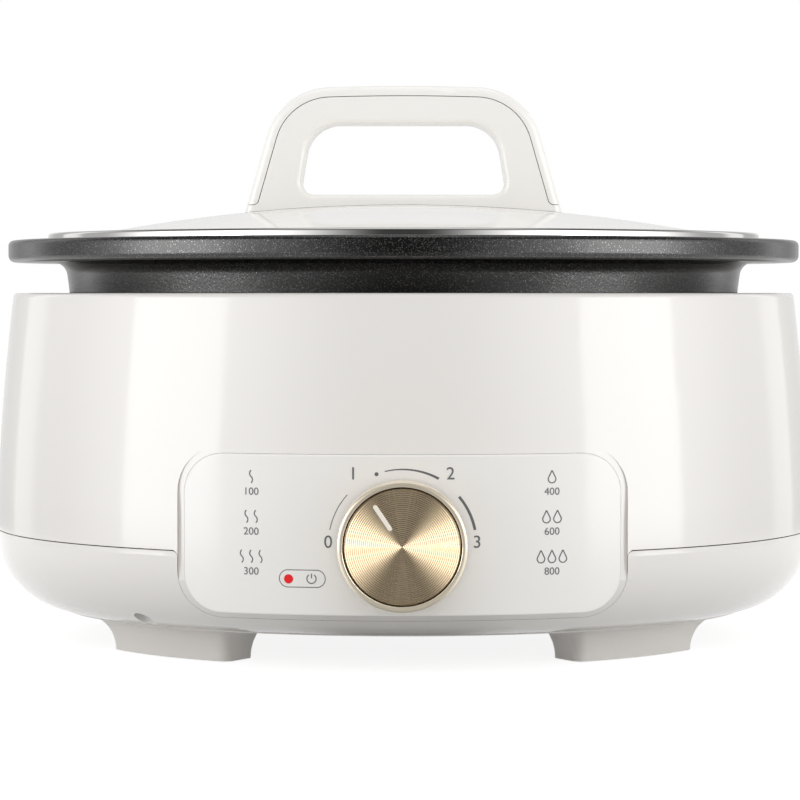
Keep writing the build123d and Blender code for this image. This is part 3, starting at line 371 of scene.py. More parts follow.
def sprayed_glass(colour):
    """Tempered glass, sprayed cream on its underside: the colour lies under a hard clear face that reflects
    as sharply as a window."""
    glass = start_material("tempered_glass_sprayed_cream", colour, 0.35, IOR=1.5, Coat_Weight=1.0,
                           Coat_Roughness=0.015, Coat_IOR=1.52)
    return clouded(glass, pitch=0.8, detail=2.0, first=colour, second=times(colour, 0.975))


# ---------------------------------------------------------------- finishes: metals
def polished_stainless():
    """Stainless steel strip, rolled to shape and buffed: a mirror with very fine marks round it."""
    steel = start_material("stainless_steel_buffed", linear("#D2D1CF"), 0.09, Metallic=1.0)
    return ringed(steel, pitch=0.25, detail=2.0, strength=0.05, depth=0.02)


def turned_metal(name, colour, roughness, groove, depth):
    """Metal faced on a lathe: rings of tool marks that catch the light as a cross."""
    metal = start_material(name, colour, roughness, Metallic=1.0, Anisotropic=0.6)
    return ringed(metal, pitch=groove, detail=3.0, strength=0.6, depth=depth)


def sheet_metal(name, colour, roughness):
    """Coated sheet steel as it comes off the roll: a soft grey shine in faint large patches."""
    material, tree, shader = start_material(name, colour, roughness, Metallic=1.0)
    where = add(tree, "TexCoord", (-1100, 0)).outputs["Object"]
    patches = add(tree, "TexVoronoi", (-900, 100), {"Vector": where, "Scale": per_metre(9)})
    sheen = add(tree, "MapRange", (-600, 150), {
        "Value": patches.outputs["Distance"], "To Min": roughness - 0.1, "To Max": roughness + 0.12})
    tree.links.new(sheen.outputs["Result"], shader.inputs["Roughness"])
    return material


def plated(name, colour, roughness):
    """Small plated or turned metal goods: bright, a little uneven from tumbling."""
    material, tree, shader = start_material(name, colour, roughness, Metallic=1.0)
    where = add(tree, "TexCoord", (-1100, 0)).outputs["Object"]
    marks = add(tree, "TexNoise", (-900, 100), {"Vector": where, "Scale": per_metre(1.5), "Detail": 4.0})
    sheen = add(tree, "MapRange", (-600, 150), {"Value": marks.outputs["Fac"], "To Min": roughness - 0.1,
                                               "To Max": roughness + 0.15})
    tree.links.new(sheen.outputs["Result"], shader.inputs["Roughness"])
    return material


def oxidised_sheath():
    """Heating tube with a dark oxide from its first firing: blue-grey and brown, dull."""
    sheath = start_material("nickel_alloy_fired", linear("#57504A"), 0.5, Metallic=1.0)
    return clouded(sheath, pitch=14, detail=4.0, first=linear("#4A4D55"), second=linear("#6B5A48"))


def pearl_plated_ring(colour):
    """Knob ring, pearl-plated champagne: the plating's fine haze scatters some of the light, so the ring
    is pale where a plain mirror would be dark."""
    ring = start_material("pearl_plated_champagne", colour, 0.2, Metallic=0.5)
    return ringed(ring, pitch=0.3, detail=2.0, strength=0.08, depth=0.02, centre=KNOB, axis="Y")


def spun_brushed_face(colour, pitch=0.75, flank=0.54):
    """Aluminium disc, turned with a V-shaped tool and anodised bronze: the flanks of its rings, of the
    slope given, draw each lamp out into a fan. Its colour is painted darker in rings that follow the
    grooves, as painted shade, a little unevenly. The real rings are about 0.05 mm apart; they are drawn
    coarser, at the pitch given in millimetres, so that single ones still show."""
    material, tree, shader = start_material("aluminium_anodised_spun_brushed", colour, 0.28, Metallic=1.0,
                                            Anisotropic=1.0)
    where = add(tree, "TexCoord", (-1500, -500)).outputs["Object"]
    local = add(tree, "VectorMath", (-1300, -500), {0: where, 1: KNOB}, operation="SUBTRACT")
    flat = add(tree, "VectorMath", (-1100, -500), {0: local.outputs[0], 1: (1, 0, 1)}, operation="MULTIPLY")
    across = add(tree, "VectorTransform", (-900, -500), {0: flat.outputs[0]}, vector_type="VECTOR",
                 convert_from="OBJECT", convert_to="WORLD")
    tangent = add(tree, "VectorMath", (-700, -500), {0: across.outputs[0]}, operation="NORMALIZE")
    tree.links.new(tangent.outputs[0], shader.inputs["Tangent"])
    _, radius = round_axis(tree, KNOB, "Y")
    fine = add(tree, "TexNoise", (-500, -200), {"W": radius, "Scale": per_metre(pitch / 2), "Detail": 2.0},
               noise_dimensions="1D")
    turns = add(tree, "Math", (-700, -50), {0: radius, 1: 2 * pi * per_metre(pitch)}, operation="MULTIPLY")
    wave = add(tree, "Math", (-500, -50), {0: turns.outputs[0]}, operation="SINE")
    sheen = add(tree, "MapRange", (-350, 150), {
        "Value": wave.outputs[0], "From Min": -1.0, "From Max": 1.0, "To Min": 0.26, "To Max": 0.3})
    tree.links.new(sheen.outputs["Result"], shader.inputs["Roughness"])
    # Painted shade: the base colour is darkened by up to an eighth in rings that follow the grooves, unevenly by
    # fine noise.
    marks = add(tree, "Math", (-350, 300), {0: fine.outputs["Fac"], 1: 0.6, 2: wave.outputs[0]},
                operation="MULTIPLY_ADD")
    tint = add(tree, "MixRGB", (-200, 300), {"Fac": marks.outputs[0], "Color1": colour,
                                             "Color2": times(colour, 0.88)}, use_clamp=True)
    tree.links.new(tint.outputs["Color"], shader.inputs["Base Color"])
    zigzag = add(tree, "Math", (-500, -350), {0: radius, 1: pitch * MM / 2}, operation="PINGPONG")
    bump = add(tree, "Bump", (-200, -200), {"Height": zigzag.outputs[0], "Strength": 1.0,
                                            "Distance": flank})
    tree.links.new(bump.outputs["Normal"], shader.inputs["Normal"])
    return material


# ---------------------------------------------------------------- finishes: coatings, ceramic and the rest
def speckled_coating(flake=0.6):
    """Sprayed non-stick coating: a near-black film with mineral flakes that glint where a lamp is
    reflected, and the fine orange peel of the spray. Real flakes are about 0.1 mm; they are drawn coarser,
    at the size given in millimetres, so that single ones show."""
    film = linear("#0C0B0B")
    material, tree, shader = start_material("non_stick_coating_speckled", film, 0.22, IOR=1.6)
    where = add(tree, "TexCoord", (-1300, 0)).outputs["Object"]
    cells = add(tree, "TexVoronoi", (-1100, 200), {"Vector": where, "Scale": per_metre(flake),
                                                  "Randomness": 1.0})
    speck = add(tree, "MapRange", (-900, 200), {"Value": cells.outputs["Distance"], "From Min": 0.25,
                                               "From Max": 0.4, "To Min": 1.0, "To Max": 0.0})
    chance = add(tree, "SeparateColor", (-900, 0), {0: cells.outputs["Color"]})
    few = add(tree, "Math", (-700, 0), {0: chance.outputs[0], 1: 1.5}, operation="POWER")
    shown = add(tree, "Math", (-550, 150), {0: speck.outputs["Result"], 1: few.outputs[0]},
                operation="MULTIPLY")
    tint = add(tree, "MixRGB", (-350, 200), {"Fac": shown.outputs[0], "Color1": film,
                                             "Color2": linear("#868482")})
    metal = add(tree, "Math", (-350, 50), {0: shown.outputs[0], 1: 0.9}, operation="MULTIPLY")
    orange = add(tree, "TexNoise", (-1100, -250), {"Vector": where, "Scale": per_metre(0.9), "Detail": 2.0})
    bump = add(tree, "Bump", (-350, -200), {"Height": orange.outputs["Fac"], "Strength": 0.7,
                                            "Distance": 0.08 * MM})
    tree.links.new(tint.outputs["Color"], shader.inputs["Base Color"])
    tree.links.new(metal.outputs[0], shader.inputs["Metallic"])
    tree.links.new(bump.outputs["Normal"], shader.inputs["Normal"])
    return material


def fired_ceramic(name, colour):
    """Steatite: off-white, glazed by its firing, with small pits."""
    steatite = start_material(name, colour, 0.28, Coat_Weight=0.4, Coat_Roughness=0.15)
    return grained(steatite, pitch=1.2, detail=5.0, strength=0.2, depth=0.08)


def lit_lens(colour):
    """Red acrylic light pipe with its lamp on: a flat, full red."""
    acrylic = start_material("acrylic_red_lit", colour, 0.45, IOR=1.49, Emission_Color=colour,
                             Emission_Strength=0.2)
    return clouded(acrylic, pitch=2, detail=1.0, first=colour, second=times(colour, 0.9))


def circuit_board():
    """Phenolic board under green lacquer."""
    green = linear("#1F5A38")
    material, tree, shader = start_material("phenolic_board_lacquered", green, 0.35)
    where = add(tree, "TexCoord", (-1100, 0)).outputs["Object"]
    tracks = add(tree, "TexBrick", (-900, 0), {"Vector": where, "Scale": per_metre(6), "Color1": green,
                                               "Color2": linear("#25663F"), "Mortar": linear("#184A2D")})
    tree.links.new(tracks.outputs["Color"], shader.inputs["Base Color"])
    return material


def pad_ink(colour):
    """Pad-printing ink: a thin dark grey film, matt, a little uneven in its density."""
    ink = start_material("pad_printing_ink", colour, 0.5)
    return clouded(ink, pitch=0.5, detail=2.0, first=colour, second=times(colour, 1.25))


# ---------------------------------------------------------------- user's sizes and colours
def shade(name, description, code):
    return FloatVectorProperty(name=name, description=description, subtype="COLOR", size=4, min=0, max=1,
                               default=linear(code))


class HotPotColours(bpy.types.PropertyGroup):
    """Colours of the hot pot's visible finishes."""
    body: shade("Body", "Cream of the two body shells", "#EDEAE6")
    panel: shade("Panel", "Cream of the control panel", "#F1EFEC")
    handle: shade("Handle", "Cream of the lid's handle", "#F5F3EF")
    cover: shade("Bottom cover", "Cream of the bottom cover and its feet", "#EEEAE5")
    glass: shade("Lid", "Colour sprayed on the lid's glass", "#F7F5F1")
    knob_ring: shade("Knob ring", "Champagne of the knob's plated ring", "#F0E4CE")
    knob_face: shade("Knob face", "Bronze of the knob's spun face", "#DFC8A6")
    pointer: shade("Pointer", "Ivory of the knob's pointer", "#F8F2E6")
    ink: shade("Print", "Dark grey of the printed marks", "#5E6062")
    lamp: shade("Lamp", "Red of the power lamp", "#E61218")


class HotPotSizes(bpy.types.PropertyGroup):
    """Sizes of what is printed on the control panel."""
    numeral: FloatProperty(name="Dial numeral", description="Height of the numbers round the dial",
                           default=4.9 * MM, min=MM, max=0.01, unit="LENGTH", precision=5)
    small_numeral: FloatProperty(name="Column number", description="Height of the numbers in the columns",
                                 default=2.9 * MM, min=MM, max=0.01, unit="LENGTH", precision=5)
    line: FloatProperty(name="Line", description="Width of the signs' lines", default=0.45 * MM,
                        min=0.1 * MM, max=MM, unit="LENGTH", precision=5)
    ink_thick: FloatProperty(name="Ink", description="Thickness of the ink", default=0.05 * MM,
                             min=0.02 * MM, max=0.1 * MM, unit="LENGTH", precision=5)


# ---------------------------------------------------------------- prints
def knob_place(x, z):
    """Point in front of the panel, from the knob's centre in millimetres."""
    return Vector((x * MM, KNOB_FACE_Y, KNOB.z + z * MM))


def drawn_line(name, start, heading, width, moves, end_width=None):
    """A printed line, drawn with a nib: its edge is extruded along straights and spun round bends.

    Moves are ("line", length) and ("bend", radius, degrees to the left), in millimetres. The nib's width
    changes evenly to the end width, where one is given.
    """
    steps = []
    for kind, *values in moves:
        if kind == "line":
            count = max(1, round(values[0] / STEP_LONG))
            steps += [("line", values[0] / count, 0)] * count
        else:
            count = max(2, round(abs(values[1]) / max(STEP_TURN, STEP_TURN * 4 / values[0])))
            steps += [("bend", values[0], values[1] / count)] * count
    along = Vector((cos(radians(heading)), 0, sin(radians(heading))))
    left = Vector((-along.z, 0, along.x))
    place = Vector(start)
    piece = start_vertex(name, place - left * width * MM / 2)
    extrude_by(left * width * MM)
    bpy.ops.mesh.select_all(action="SELECT")
    shrink = ((end_width or width) / width) ** (1 / len(steps))
    for kind, size, turn in steps:
        if kind == "line":
            place = place + along * size * MM
            extrude_by(along * size * MM)
        else:
            side = 1 if turn > 0 else -1
            pivot = place + left * side * size * MM
            bpy.ops.mesh.spin(steps=1, angle=radians(turn), center=pivot, axis=-FRONT)
            angle = radians(heading + turn)
            heading += turn
            along = Vector((cos(angle), 0, sin(angle)))
            left = Vector((-along.z, 0, along.x))
            place = pivot - left * side * size * MM
        if end_width:
            bpy.ops.transform.resize(value=(shrink,) * 3, center_override=place)
    deselect()
    return piece


def written(text, place, height):
    """A number as a mesh, centred on a place."""
    deselect()
    bpy.ops.object.text_add(location=place, rotation=(pi / 2, 0, 0))
    piece = bpy.context.object
    piece.data.body = text
    piece.data.align_x, piece.data.align_y = "CENTER", "CENTER"
    piece.data.size = height / DIGIT_SHARE
    bpy.ops.object.convert(target="MESH")
    bpy.ops.object.transform_apply(location=True, rotation=True, scale=True)
    return bpy.context.object


def dot(place, radius):
    """A round printed dot."""
    deselect()
    bpy.ops.mesh.primitive_circle_add(vertices=32, radius=radius * MM, fill_type="NGON", location=place,
                                      rotation=(pi / 2, 0, 0))
    bpy.ops.object.transform_apply(location=True, rotation=True, scale=True)
    return bpy.context.object


def wave_sign(x, z, line):
    """One rising curl of steam: two half bends, one each way."""
    start = knob_place(x, z - 2 * WAVE_RADIUS * sin(radians(WAVE_SWEEP / 2)))
    return drawn_line("wave", start, 90 - WAVE_SWEEP / 2, line,
                      [("bend", WAVE_RADIUS, WAVE_SWEEP), ("bend", WAVE_RADIUS, -WAVE_SWEEP)])


def drop_sign(x, z, line):
    """A drop in outline: from its tip down one side, round and back."""
    flank = sqrt(DROP_REACH ** 2 - DROP_RADIUS ** 2)
    half = atan2(DROP_RADIUS, flank) * 180 / pi
    start = knob_place(x, z + DROP_REACH / 2 + DROP_RADIUS / 2)
    return drawn_line("drop", start, -90 - half, line,
                      [("line", flank), ("bend", DROP_RADIUS, 180 + 2 * half), ("line", flank)])


def panel_prints(sizes):
    """Everything printed on the panel, still flat in front of it."""
    line = sizes.line / MM
    made = []
    for text, x, z in DIAL_LABELS:
        made.append(written(text, knob_place(x, z), sizes.numeral))
    for radius, begin, end, width, end_width in DIAL_ARCS:
        start = knob_place(radius * cos(radians(begin)), radius * sin(radians(begin)))
        made.append(drawn_line("arc", start, begin - 90, width, [("bend", radius, end - begin)], end_width))
    radius, azimuth, size = DIAL_DOT
    made.append(dot(knob_place(radius * cos(radians(azimuth)), radius * sin(radians(azimuth))), size))
    for sign, x, numbers in COLUMNS:
        draw, spread = (wave_sign, WAVE_SPREAD) if sign == "waves" else (drop_sign, DROP_SPREAD)
        for row, number in enumerate(numbers):
            z = ROW_TOP - row * ROW_PITCH
            for n in range(row + 1):
                made.append(draw(x + (n - row / 2) * spread, z, line))
            made.append(written(number, knob_place(x, z - ROW_NUMBER_DROP), sizes.small_numeral))
    x, z = PILL_CENTRE
    round_end = PILL_HIGH / 2
    straight = PILL_WIDE - PILL_HIGH
    made.append(drawn_line("pill", knob_place(x - straight / 2, z - round_end), 0, PILL_LINE * line,
                           [("line", straight), ("bend", round_end, 180)] * 2))
    begin = radians(90 + POWER_GAP)
    start = knob_place(POWER_X + POWER_RADIUS * cos(begin), z + POWER_RADIUS * sin(begin))
    made.append(drawn_line("power", start, 180 + POWER_GAP, POWER_LINE * line,
                           [("bend", POWER_RADIUS, 360 - 2 * POWER_GAP)]))
    made.append(drawn_line("power", knob_place(POWER_X, z + POWER_BAR_LOW), 90, POWER_LINE * line,
                           [("line", POWER_RADIUS)]))
    return made


# ---------------------------------------------------------------- operators
class HOTPOT_OT_shells(bpy.types.Operator):
    """Finish the two body shells, the bottom cover with its feet and pads, and all plated steel goods"""
    bl_idname = "hotpot.shells"
    bl_label = "Body shells"

    def execute(self, context):
        colours = context.scene.hotpot_colours
        coat(moulded_abs("abs_moulded_cream_body", colours.body, 0.1), "upper_shell", "lower_shell")
        coat(eroded_abs("abs_moulded_cream_satin", colours.cover), "bottom_cover")
        coat(soft_rubber("rubber_moulded_grey", linear("#8A8783"), grain=0.5), "foot_pads")
        coat(plated("steel_zinc_plated", linear("#B9BBBC"), 0.38), "shell_screws", "cover_screws",
             "liner_screws", "plate_screws", "plate_supports", "inlet_screws", "handle_screws",
             "sensor_spring")
        return {"FINISHED"}


class HOTPOT_OT_pot(bpy.types.Operator):
    """Turn the cast pot with its flange, and coat it"""
    bl_idname = "hotpot.pot"
    bl_label = "Pot"

    def execute(self, context):
        floor_in = POT_FLOOR + POT_BASE
        corner_in = POT_CORNER - POT_BASE
        throat_in = POT_THROAT_RADIUS - POT_WALL
        section = [
            (0, POT_FLOOR, 0), (POT_LOW_RADIUS, POT_FLOOR, POT_CORNER),
            (POT_LOW_RADIUS, POT_CORNER_TOP, 0), (POT_NECK_RADIUS, POT_NECK, POT_NECK_ROUND),
            (POT_THROAT_RADIUS, FLANGE_LOW, POT_THROAT_ROUND),
            (FLANGE_RADIUS, FLANGE_LOW, FLANGE_LOW_ROUND), (FLANGE_RADIUS, FLANGE_HIGH, FLANGE_HIGH_ROUND),
            (SEAT_RADIUS, FLANGE_HIGH, SEAT_ROUND), (SEAT_RADIUS, SEAT_HEIGHT, SEAT_ROUND),
            (throat_in + THROAT_FLARE, SEAT_HEIGHT, SEAT_ROUND), (throat_in, FLANGE_LOW, 0),
            (POT_NECK_RADIUS - POT_WALL, POT_NECK, 0), (POT_LOW_RADIUS - POT_WALL, POT_CORNER_TOP, 0),
            (POT_LOW_RADIUS - POT_WALL, floor_in, corner_in), (0, floor_in, 0),
        ]
        finish_piece(turned("pot_casting", section), speckled_coating(), "pot", "pot_coating", "inner_pot")
        return {"FINISHED"}


class HOTPOT_OT_lid(bpy.types.Operator):
    """Make the domed glass and its steel band, and finish the handle and the steam vent"""
    bl_idname = "hotpot.lid"
    bl_label = "Lid"

    def dome(self, radius, apex):
        """Height of the dome at a distance from its axis."""
        return apex - GLASS_SPHERE + sqrt(GLASS_SPHERE ** 2 - radius ** 2)

    def execute(self, context):
        colours = context.scene.hotpot_colours
        rings = [GLASS_EDGE * n / DOME_RINGS for n in range(DOME_RINGS + 1)]
        section = [(radius, self.dome(radius, GLASS_APEX), 0) for radius in rings]
        under = [(radius, self.dome(radius, GLASS_APEX - GLASS_THICK), 0) for radius in reversed(rings)]
        glass = turned("lid_glass_dome", section + under)
        bored(glass, VENT_HOLE, (0, VENT_Y))
        bored(glass, HANDLE_SCREW_HOLE, (-HANDLE_SCREW_X, 0), (HANDLE_SCREW_X, 0))
        finish_piece(glass, sprayed_glass(colours.glass), "lid", "lid_glass", "lid_panel")
        lip_top = self.dome(BAND_LIP, GLASS_APEX) + BAND_GAP + BAND_THICK
        inside = BAND_RADIUS - BAND_THICK
        section = [
            (BAND_CURL, BAND_LOW, BAND_CURL_ROUND), (BAND_RADIUS, BAND_LOW, BAND_LOW_ROUND),
            (BAND_RADIUS, BAND_HIGH, BAND_HIGH_ROUND), (BAND_CREST, BAND_HIGH, BAND_CREST_ROUND),
            (BAND_LIP, lip_top, BAND_LIP_ROUND), (BAND_LIP, lip_top - BAND_THICK, BAND_LIP_ROUND),
            (BAND_CREST, BAND_HIGH - BAND_THICK, 0), (inside, BAND_HIGH - BAND_THICK, 0),
            (inside, BAND_LOW + BAND_THICK, 0), (BAND_CURL, BAND_LOW + BAND_THICK, BAND_CURL_ROUND),
        ]
        finish_piece(turned("lid_steel_band", section), polished_stainless(), "lid", "lid_band", "lid_rim")
        coat(moulded_abs("abs_moulded_cream_handle", colours.handle, 0.2), "handle_frame", "handle_cover")
        coat(soft_rubber("silicone_moulded_cream", linear("#DAD7D0"), grain=0.8), "steam_vent",
             "handle_washers")
        return {"FINISHED"}


class HOTPOT_OT_dial(bpy.types.Operator):
    """Finish the control panel, its knob and its lamp"""
    bl_idname = "hotpot.dial"
    bl_label = "Panel and knob"

    def execute(self, context):
        colours = context.scene.hotpot_colours
        coat(moulded_abs("abs_moulded_cream_panel", colours.panel, 0.16), "control_panel")
        coat(black_moulding("nylon_moulded_black", linear("#141414"), 0.5), "knob_core")
        coat(pearl_plated_ring(colours.knob_ring), "knob_ring")
        coat(spun_brushed_face(colours.knob_face), "knob_face")
        coat(moulded_abs("abs_moulded_ivory_pointer", colours.pointer, 0.25), "knob_pointer")
        coat(lit_lens(colours.lamp), "indicator_lens", "indicator_led")
        return {"FINISHED"}


class HOTPOT_OT_prints(bpy.types.Operator):
    """Print the dial's numbers, arcs and signs, and wrap them onto the round panel"""
    bl_idname = "hotpot.prints"
    bl_label = "Prints"

    def execute(self, context):
        sizes = context.scene.hotpot_sizes
        made = panel_prints(sizes)
        deselect()
        for piece in made:
            piece.select_set(True)
        bpy.context.view_layer.objects.active = made[0]
        bpy.ops.object.join()
        prints = bpy.context.object
        prints.name = prints.data.name = "panel_prints"
        apply_modifier(prints, "SHRINKWRAP", target=NODES["control_panel"], wrap_method="PROJECT",
                       use_project_y=True, use_positive_direction=True, use_negative_direction=False,
                       wrap_mode="ABOVE_SURFACE", offset=sizes.ink_thick)
        apply_modifier(prints, "SOLIDIFY", thickness=sizes.ink_thick, offset=1.0)
        finish_piece(prints, pad_ink(context.scene.hotpot_colours.ink), "base", "panel_face")
        return {"FINISHED"}


class HOTPOT_OT_inside(bpy.types.Operator):
    """Finish what lies inside: liner, hot plate, element, sensor, fuse, switch and terminals"""
    bl_idname = "hotpot.inside"
    bl_label = "Inside"

    def execute(self, context):
        coat(sheet_metal("steel_sheet_aluminised", linear("#B2B4B5"), 0.4), "inner_liner", "fuse_strap",
             "switch_bracket")
        coat(turned_metal("aluminium_cast_faced", linear("#C3C3C2"), 0.34, groove=0.9, depth=0.05),
             "heating_plate", "sensor_plunger")
        coat(oxidised_sheath(), "heating_element")
        coat(turned_metal("steel_turned", linear("#AEAEAD"), 0.3, groove=0.4, depth=0.02), "sensor_housing",
             "switch_shaft")
        coat(fired_ceramic("steatite_fuse", linear("#E2DDCF")), "thermal_fuse")
        coat(fired_ceramic("steatite_terminal", linear("#E9E6DD")), "terminal_block")
        coat(black_moulding("thermoset_moulded_black", linear("#232324"), 0.48), "rotary_switch")
        coat(plated("brass_turned", linear("#C2A565"), 0.3), "switch_nut", "inlet_pins")
        coat(circuit_board(), "indicator_board")
        return {"FINISHED"}


class HOTPOT_OT_inlet(bpy.types.Operator):
    """Finish the power inlet at the rear"""
    bl_idname = "hotpot.inlet"
    bl_label = "Power inlet"

    def execute(self, context):
        coat(black_moulding("polyamide_moulded_black", linear("#1C1C1D"), 0.45), "power_inlet")
        return {"FINISHED"}


class HOTPOT_OT_stage(bpy.types.Operator):
    """Set the pale floor, the soft studio light and the camera"""
    bl_idname = "hotpot.stage"
    bl_label = "Studio"

    # Plain light all round, and what is added overhead, between two heights of a direction, 1 straight up.
    ambient, overhead, overhead_low, overhead_high = 0.67, 0.5, 0.2, 0.95
    lamp_radiance = 2.4
    floor_radius, floor_drop = 0.72, 0.1 * MM
    floor_glow, floor_white, floor_bounce, floor_dark = 0.87, 0.32, 0.58, 0.03
    # Each row changes a level between two azimuths in degrees from the front, or between two such heights:
    # where it begins and ends, and what it changes from and to.
    dark_share = (7, 24, 0.8, 0.0)
    room_by_azimuth = {"front": (5, 60, 0.06, 2.7), "beside": (70, 112, 1.0, 0.22),
                       "strip": (122, 130, 0.0, 0.6), "strip_end": (139, 142, 1.0, 0.0),
                       "rear": (150, 168, 0.0, 0.22)}
    room_by_height = {"fade": (0.42, 0.7, 1.0, 0.06), "ceiling": (0.85, 0.95, 0.0, 0.8)}
    room_sums = (("walls", "front", "beside", "MULTIPLY"), ("walls", "walls", "fade", "MULTIPLY"),
                 ("strip", "strip", "strip_end", "MULTIPLY"), ("behind", "rear", "strip", "ADD"),
                 ("room", "walls", "behind", "ADD"), ("room", "room", "ceiling", "ADD"))

    def azimuth(self, tree, parts):
        """Socket with the angle from the front, alike to either side, of a vector's parts."""
        to_front = add(tree, "Math", (-1100, 400), {0: parts.outputs["Y"], 1: -1.0}, operation="MULTIPLY")
        turn = add(tree, "Math", (-900, 400), {0: parts.outputs["X"], 1: to_front.outputs[0]},
                   operation="ARCTAN2")
        return add(tree, "Math", (-700, 400), {0: turn.outputs[0]}, operation="ABSOLUTE").outputs[0]

    def floor(self):
        """A pale round table: white to the camera apart from the object's own soft shadow, and mostly dark
        where the front of it is reflected."""
        deselect()
        bpy.ops.mesh.primitive_circle_add(vertices=128, radius=self.floor_radius, fill_type="NGON",
                                          location=(0, AXIS_Y, -self.floor_drop))
        table = bpy.context.object
        table.name = table.data.name = "table"
        material = bpy.data.materials.new("paper_backdrop_white")
        material.use_nodes = True
        tree = material.node_tree
        tree.nodes.clear()
        path = add(tree, "LightPath", (-900, 300))
        where = add(tree, "TexCoord", (-1500, 0)).outputs["Object"]
        parts = add(tree, "SeparateXYZ", (-1300, 400), {0: where})
        begin, end, low, high = self.dark_share
        front = add(tree, "MapRange", (-500, 450), {
            "Value": self.azimuth(tree, parts), "From Min": radians(begin), "From Max": radians(end),
            "To Min": low, "To Max": high}, interpolation_type="SMOOTHSTEP")
        unlit = add(tree, "Math", (-300, 450), {0: path.outputs["Is Glossy Ray"],
                                                1: front.outputs["Result"]}, operation="MULTIPLY")
        seen = add(tree, "Math", (-700, 300), {0: path.outputs["Is Camera Ray"],
                                               1: path.outputs["Is Glossy Ray"]}, operation="MAXIMUM")
        shown = add(tree, "Math", (-500, 300), {0: seen.outputs[0], 1: path.outputs["Is Transmission Ray"]},
                    operation="MAXIMUM")
        fibre = add(tree, "TexNoise", (-900, 0), {"Vector": where, "Scale": per_metre(0.5), "Detail": 3.0})
        bump = add(tree, "Bump", (-600, -50), {"Height": fibre.outputs["Fac"], "Strength": 0.1,
                                               "Distance": 0.05 * MM})
        bounce = add(tree, "BsdfDiffuse", (-400, 100), {"Color": [self.floor_bounce] * 3 + [1.0],
                                                        "Normal": bump.outputs["Normal"]})
        paper = add(tree, "BsdfDiffuse", (-400, -100), {"Color": [self.floor_white] * 3 + [1.0],
                                                        "Normal": bump.outputs["Normal"]})
        glow = add(tree, "Emission", (-400, -250), {"Strength": self.floor_glow})
        white = add(tree, "AddShader", (-200, -150), {0: paper.outputs[0], 1: glow.outputs[0]})
        mixed = add(tree, "MixShader", (0, 0), {0: shown.outputs[0], 1: bounce.outputs[0],
                                                2: white.outputs[0]})
        dark = add(tree, "BsdfDiffuse", (0, -200), {"Color": [self.floor_dark] * 3 + [1.0]})
        table_look = add(tree, "MixShader", (200, 0), {0: unlit.outputs[0], 1: mixed.outputs[0],
                                                       2: dark.outputs[0]})
        add(tree, "OutputMaterial", (400, 0), {"Surface": table_look.outputs[0]})
        table.data.materials.append(material)
        bpy.ops.object.transform_apply(location=True, rotation=True, scale=True)

    def world(self):
        """White to the camera; plain light all round; and, for reflections, a room that is dark behind the
        camera, brightest beside the object and dim behind it, with a paler strip on either side there. Its
        walls fade upwards, under a pale ceiling."""
        world = bpy.data.worlds.new("studio")
        bpy.context.scene.world = world
        world.use_nodes = True
        tree = world.node_tree
        tree.nodes.clear()
        path = add(tree, "LightPath", (-300, 500))
        where = add(tree, "TexCoord", (-1500, 0)).outputs["Generated"]
        parts = add(tree, "SeparateXYZ", (-1300, 0), {0: where})
        away = self.azimuth(tree, parts)
        levels = [(name, away, radians(begin), radians(end), low, high)
                  for name, (begin, end, low, high) in self.room_by_azimuth.items()]
        levels += [(name, parts.outputs["Z"], *row) for name, row in self.room_by_height.items()]
        room = {}
        for n, (name, value, begin, end, low, high) in enumerate(levels):
            level = add(tree, "MapRange", (-500, 150 - 250 * n), {
                "Value": value, "From Min": begin, "From Max": end, "To Min": low, "To Max": high},
                interpolation_type="SMOOTHSTEP")
            room[name] = level.outputs["Result"]
        for n, (name, first, second, operation) in enumerate(self.room_sums):
            joined = add(tree, "Math", (-250, 150 - 200 * n), {0: room[first], 1: room[second]},
                         operation=operation)
            room[name] = joined.outputs[0]
        above = add(tree, "MapRange", (-250, 350), {
            "Value": parts.outputs["Z"], "From Min": self.overhead_low, "From Max": self.overhead_high,
            "To Min": self.ambient, "To Max": self.ambient + self.overhead})
        neutral = linear("#FFFFFF")
        plain = add(tree, "Background", (0, 250), {"Color": neutral, "Strength": above.outputs["Result"]})
        mirrored = add(tree, "Background", (0, 50), {"Color": neutral, "Strength": room["room"]})
        white = add(tree, "Background", (0, -100), {"Color": neutral, "Strength": 1.0})
        seen = add(tree, "Math", (0, 500), {0: path.outputs["Is Camera Ray"],
                                            1: path.outputs["Is Transmission Ray"]}, operation="MAXIMUM")
        lit = add(tree, "MixShader", (300, 200), {0: path.outputs["Is Glossy Ray"], 1: plain.outputs[0],
                                                  2: mirrored.outputs[0]})
        mixed = add(tree, "MixShader", (500, 200), {0: seen.outputs[0], 1: lit.outputs[0],
                                                    2: white.outputs[0]})
        add(tree, "OutputWorld", (700, 200), {"Surface": mixed.outputs[0]})

    def reflected(self, azimuth, camera):
        """Where the camera's ray goes after it meets the body's side at an azimuth from the front."""
        normal = Vector((sin(radians(azimuth)), -cos(radians(azimuth)), 0))
        point = Vector((0, AXIS_Y, 0)) + BODY_RADIUS * normal
        sight = (point - Vector((camera.x, camera.y, 0))).normalized()
        return point + LAMP_AWAY * (sight - 2 * sight.dot(normal) * normal)

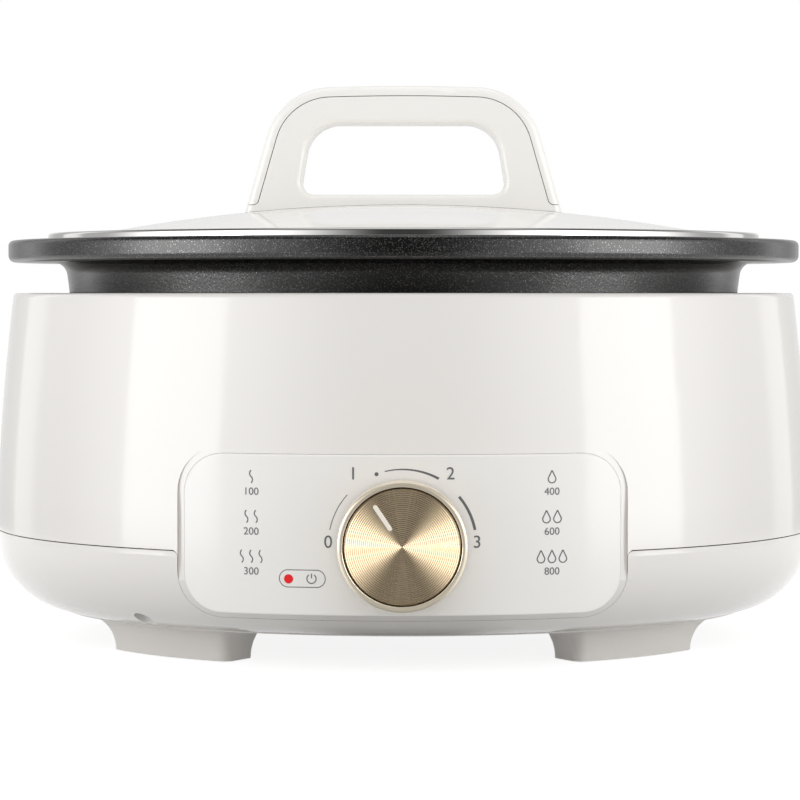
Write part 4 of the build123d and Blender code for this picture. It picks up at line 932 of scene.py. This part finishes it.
    def lamps(self, camera):
        """Two tall softboxes, placed so that each one's reflection fills a band of the body's side."""
        for side, name in ((-1, "softbox_left"), (1, "softbox_right")):
            near, far = (self.reflected(side * azimuth, camera) for azimuth in (BAND_NEAR, BAND_FAR))
            lamp = bpy.data.lights.new(name, "AREA")
            lamp.shape = "RECTANGLE"
            lamp.size, lamp.size_y = (far - near).length, LAMP_TOP - LAMP_LOW
            lamp.energy = self.lamp_radiance * lamp.size * lamp.size_y * pi
            box = bpy.data.objects.new(name, lamp)
            bpy.context.scene.collection.objects.link(box)
            box.location = (near + far) / 2 + UP * (LAMP_TOP + LAMP_LOW) / 2
            width = (far - near).normalized()
            facing = UP.cross(width)
            if facing.dot(box.location - Vector((0, AXIS_Y, 0))) > 0:
                facing = -facing
            box.rotation_euler = facing.to_track_quat("-Z", "Y").to_euler()
            box.visible_camera = False

    def camera(self):
        """A long lens at the height of the deck, level with the rim."""
        view = bpy.data.cameras.new("view")
        view.sensor_width = SENSOR
        view.lens = SENSOR * FOCAL_PIXELS / IMAGE_WIDE
        holder = bpy.data.objects.new("view", view)
        bpy.context.scene.collection.objects.link(holder)
        holder.location = (CAMERA_X, AXIS_Y - CAMERA_BACK, CAMERA_HIGH)
        holder.rotation_euler = (radians(90 - CAMERA_DIP), 0, radians(CAMERA_TURN))
        bpy.context.scene.camera = holder
        return holder.location

    def execute(self, context):
        self.floor()
        self.world()
        self.lamps(self.camera())
        context.scene.view_settings.view_transform = "Standard"
        return {"FINISHED"}


# ---------------------------------------------------------------- panel and registration
OPERATORS = (HOTPOT_OT_shells, HOTPOT_OT_pot, HOTPOT_OT_lid, HOTPOT_OT_dial, HOTPOT_OT_prints,
             HOTPOT_OT_inside, HOTPOT_OT_inlet, HOTPOT_OT_stage)


class HOTPOT_PT_sidebar(bpy.types.Panel):
    """Lists the hot pot's colours, sizes and steps"""
    bl_idname = "HOTPOT_PT_sidebar"
    bl_label = "Electric hot pot"
    bl_space_type = "VIEW_3D"
    bl_region_type = "UI"
    bl_category = "Hot pot"

    def draw(self, context):
        for group in (context.scene.hotpot_colours, context.scene.hotpot_sizes):
            for name in group.bl_rna.properties.keys():
                if name not in ("rna_type", "name"):
                    self.layout.prop(group, name)
        for step in OPERATORS:
            self.layout.operator(step.bl_idname)


CLASSES = (HotPotColours, HotPotSizes, *OPERATORS, HOTPOT_PT_sidebar)


def register():
    for made in CLASSES:
        bpy.utils.register_class(made)
    bpy.types.Scene.hotpot_colours = PointerProperty(type=HotPotColours)
    bpy.types.Scene.hotpot_sizes = PointerProperty(type=HotPotSizes)


def unregister():
    del bpy.types.Scene.hotpot_sizes
    del bpy.types.Scene.hotpot_colours
    for made in reversed(CLASSES):
        bpy.utils.unregister_class(made)


def main():
    register()
    bpy.ops.hotpot.shells()
    bpy.ops.hotpot.pot()
    bpy.ops.hotpot.lid()
    bpy.ops.hotpot.dial()
    bpy.ops.hotpot.prints()
    bpy.ops.hotpot.inside()
    bpy.ops.hotpot.inlet()
    bpy.ops.hotpot.stage()


if __name__ == "__main__":
    main()
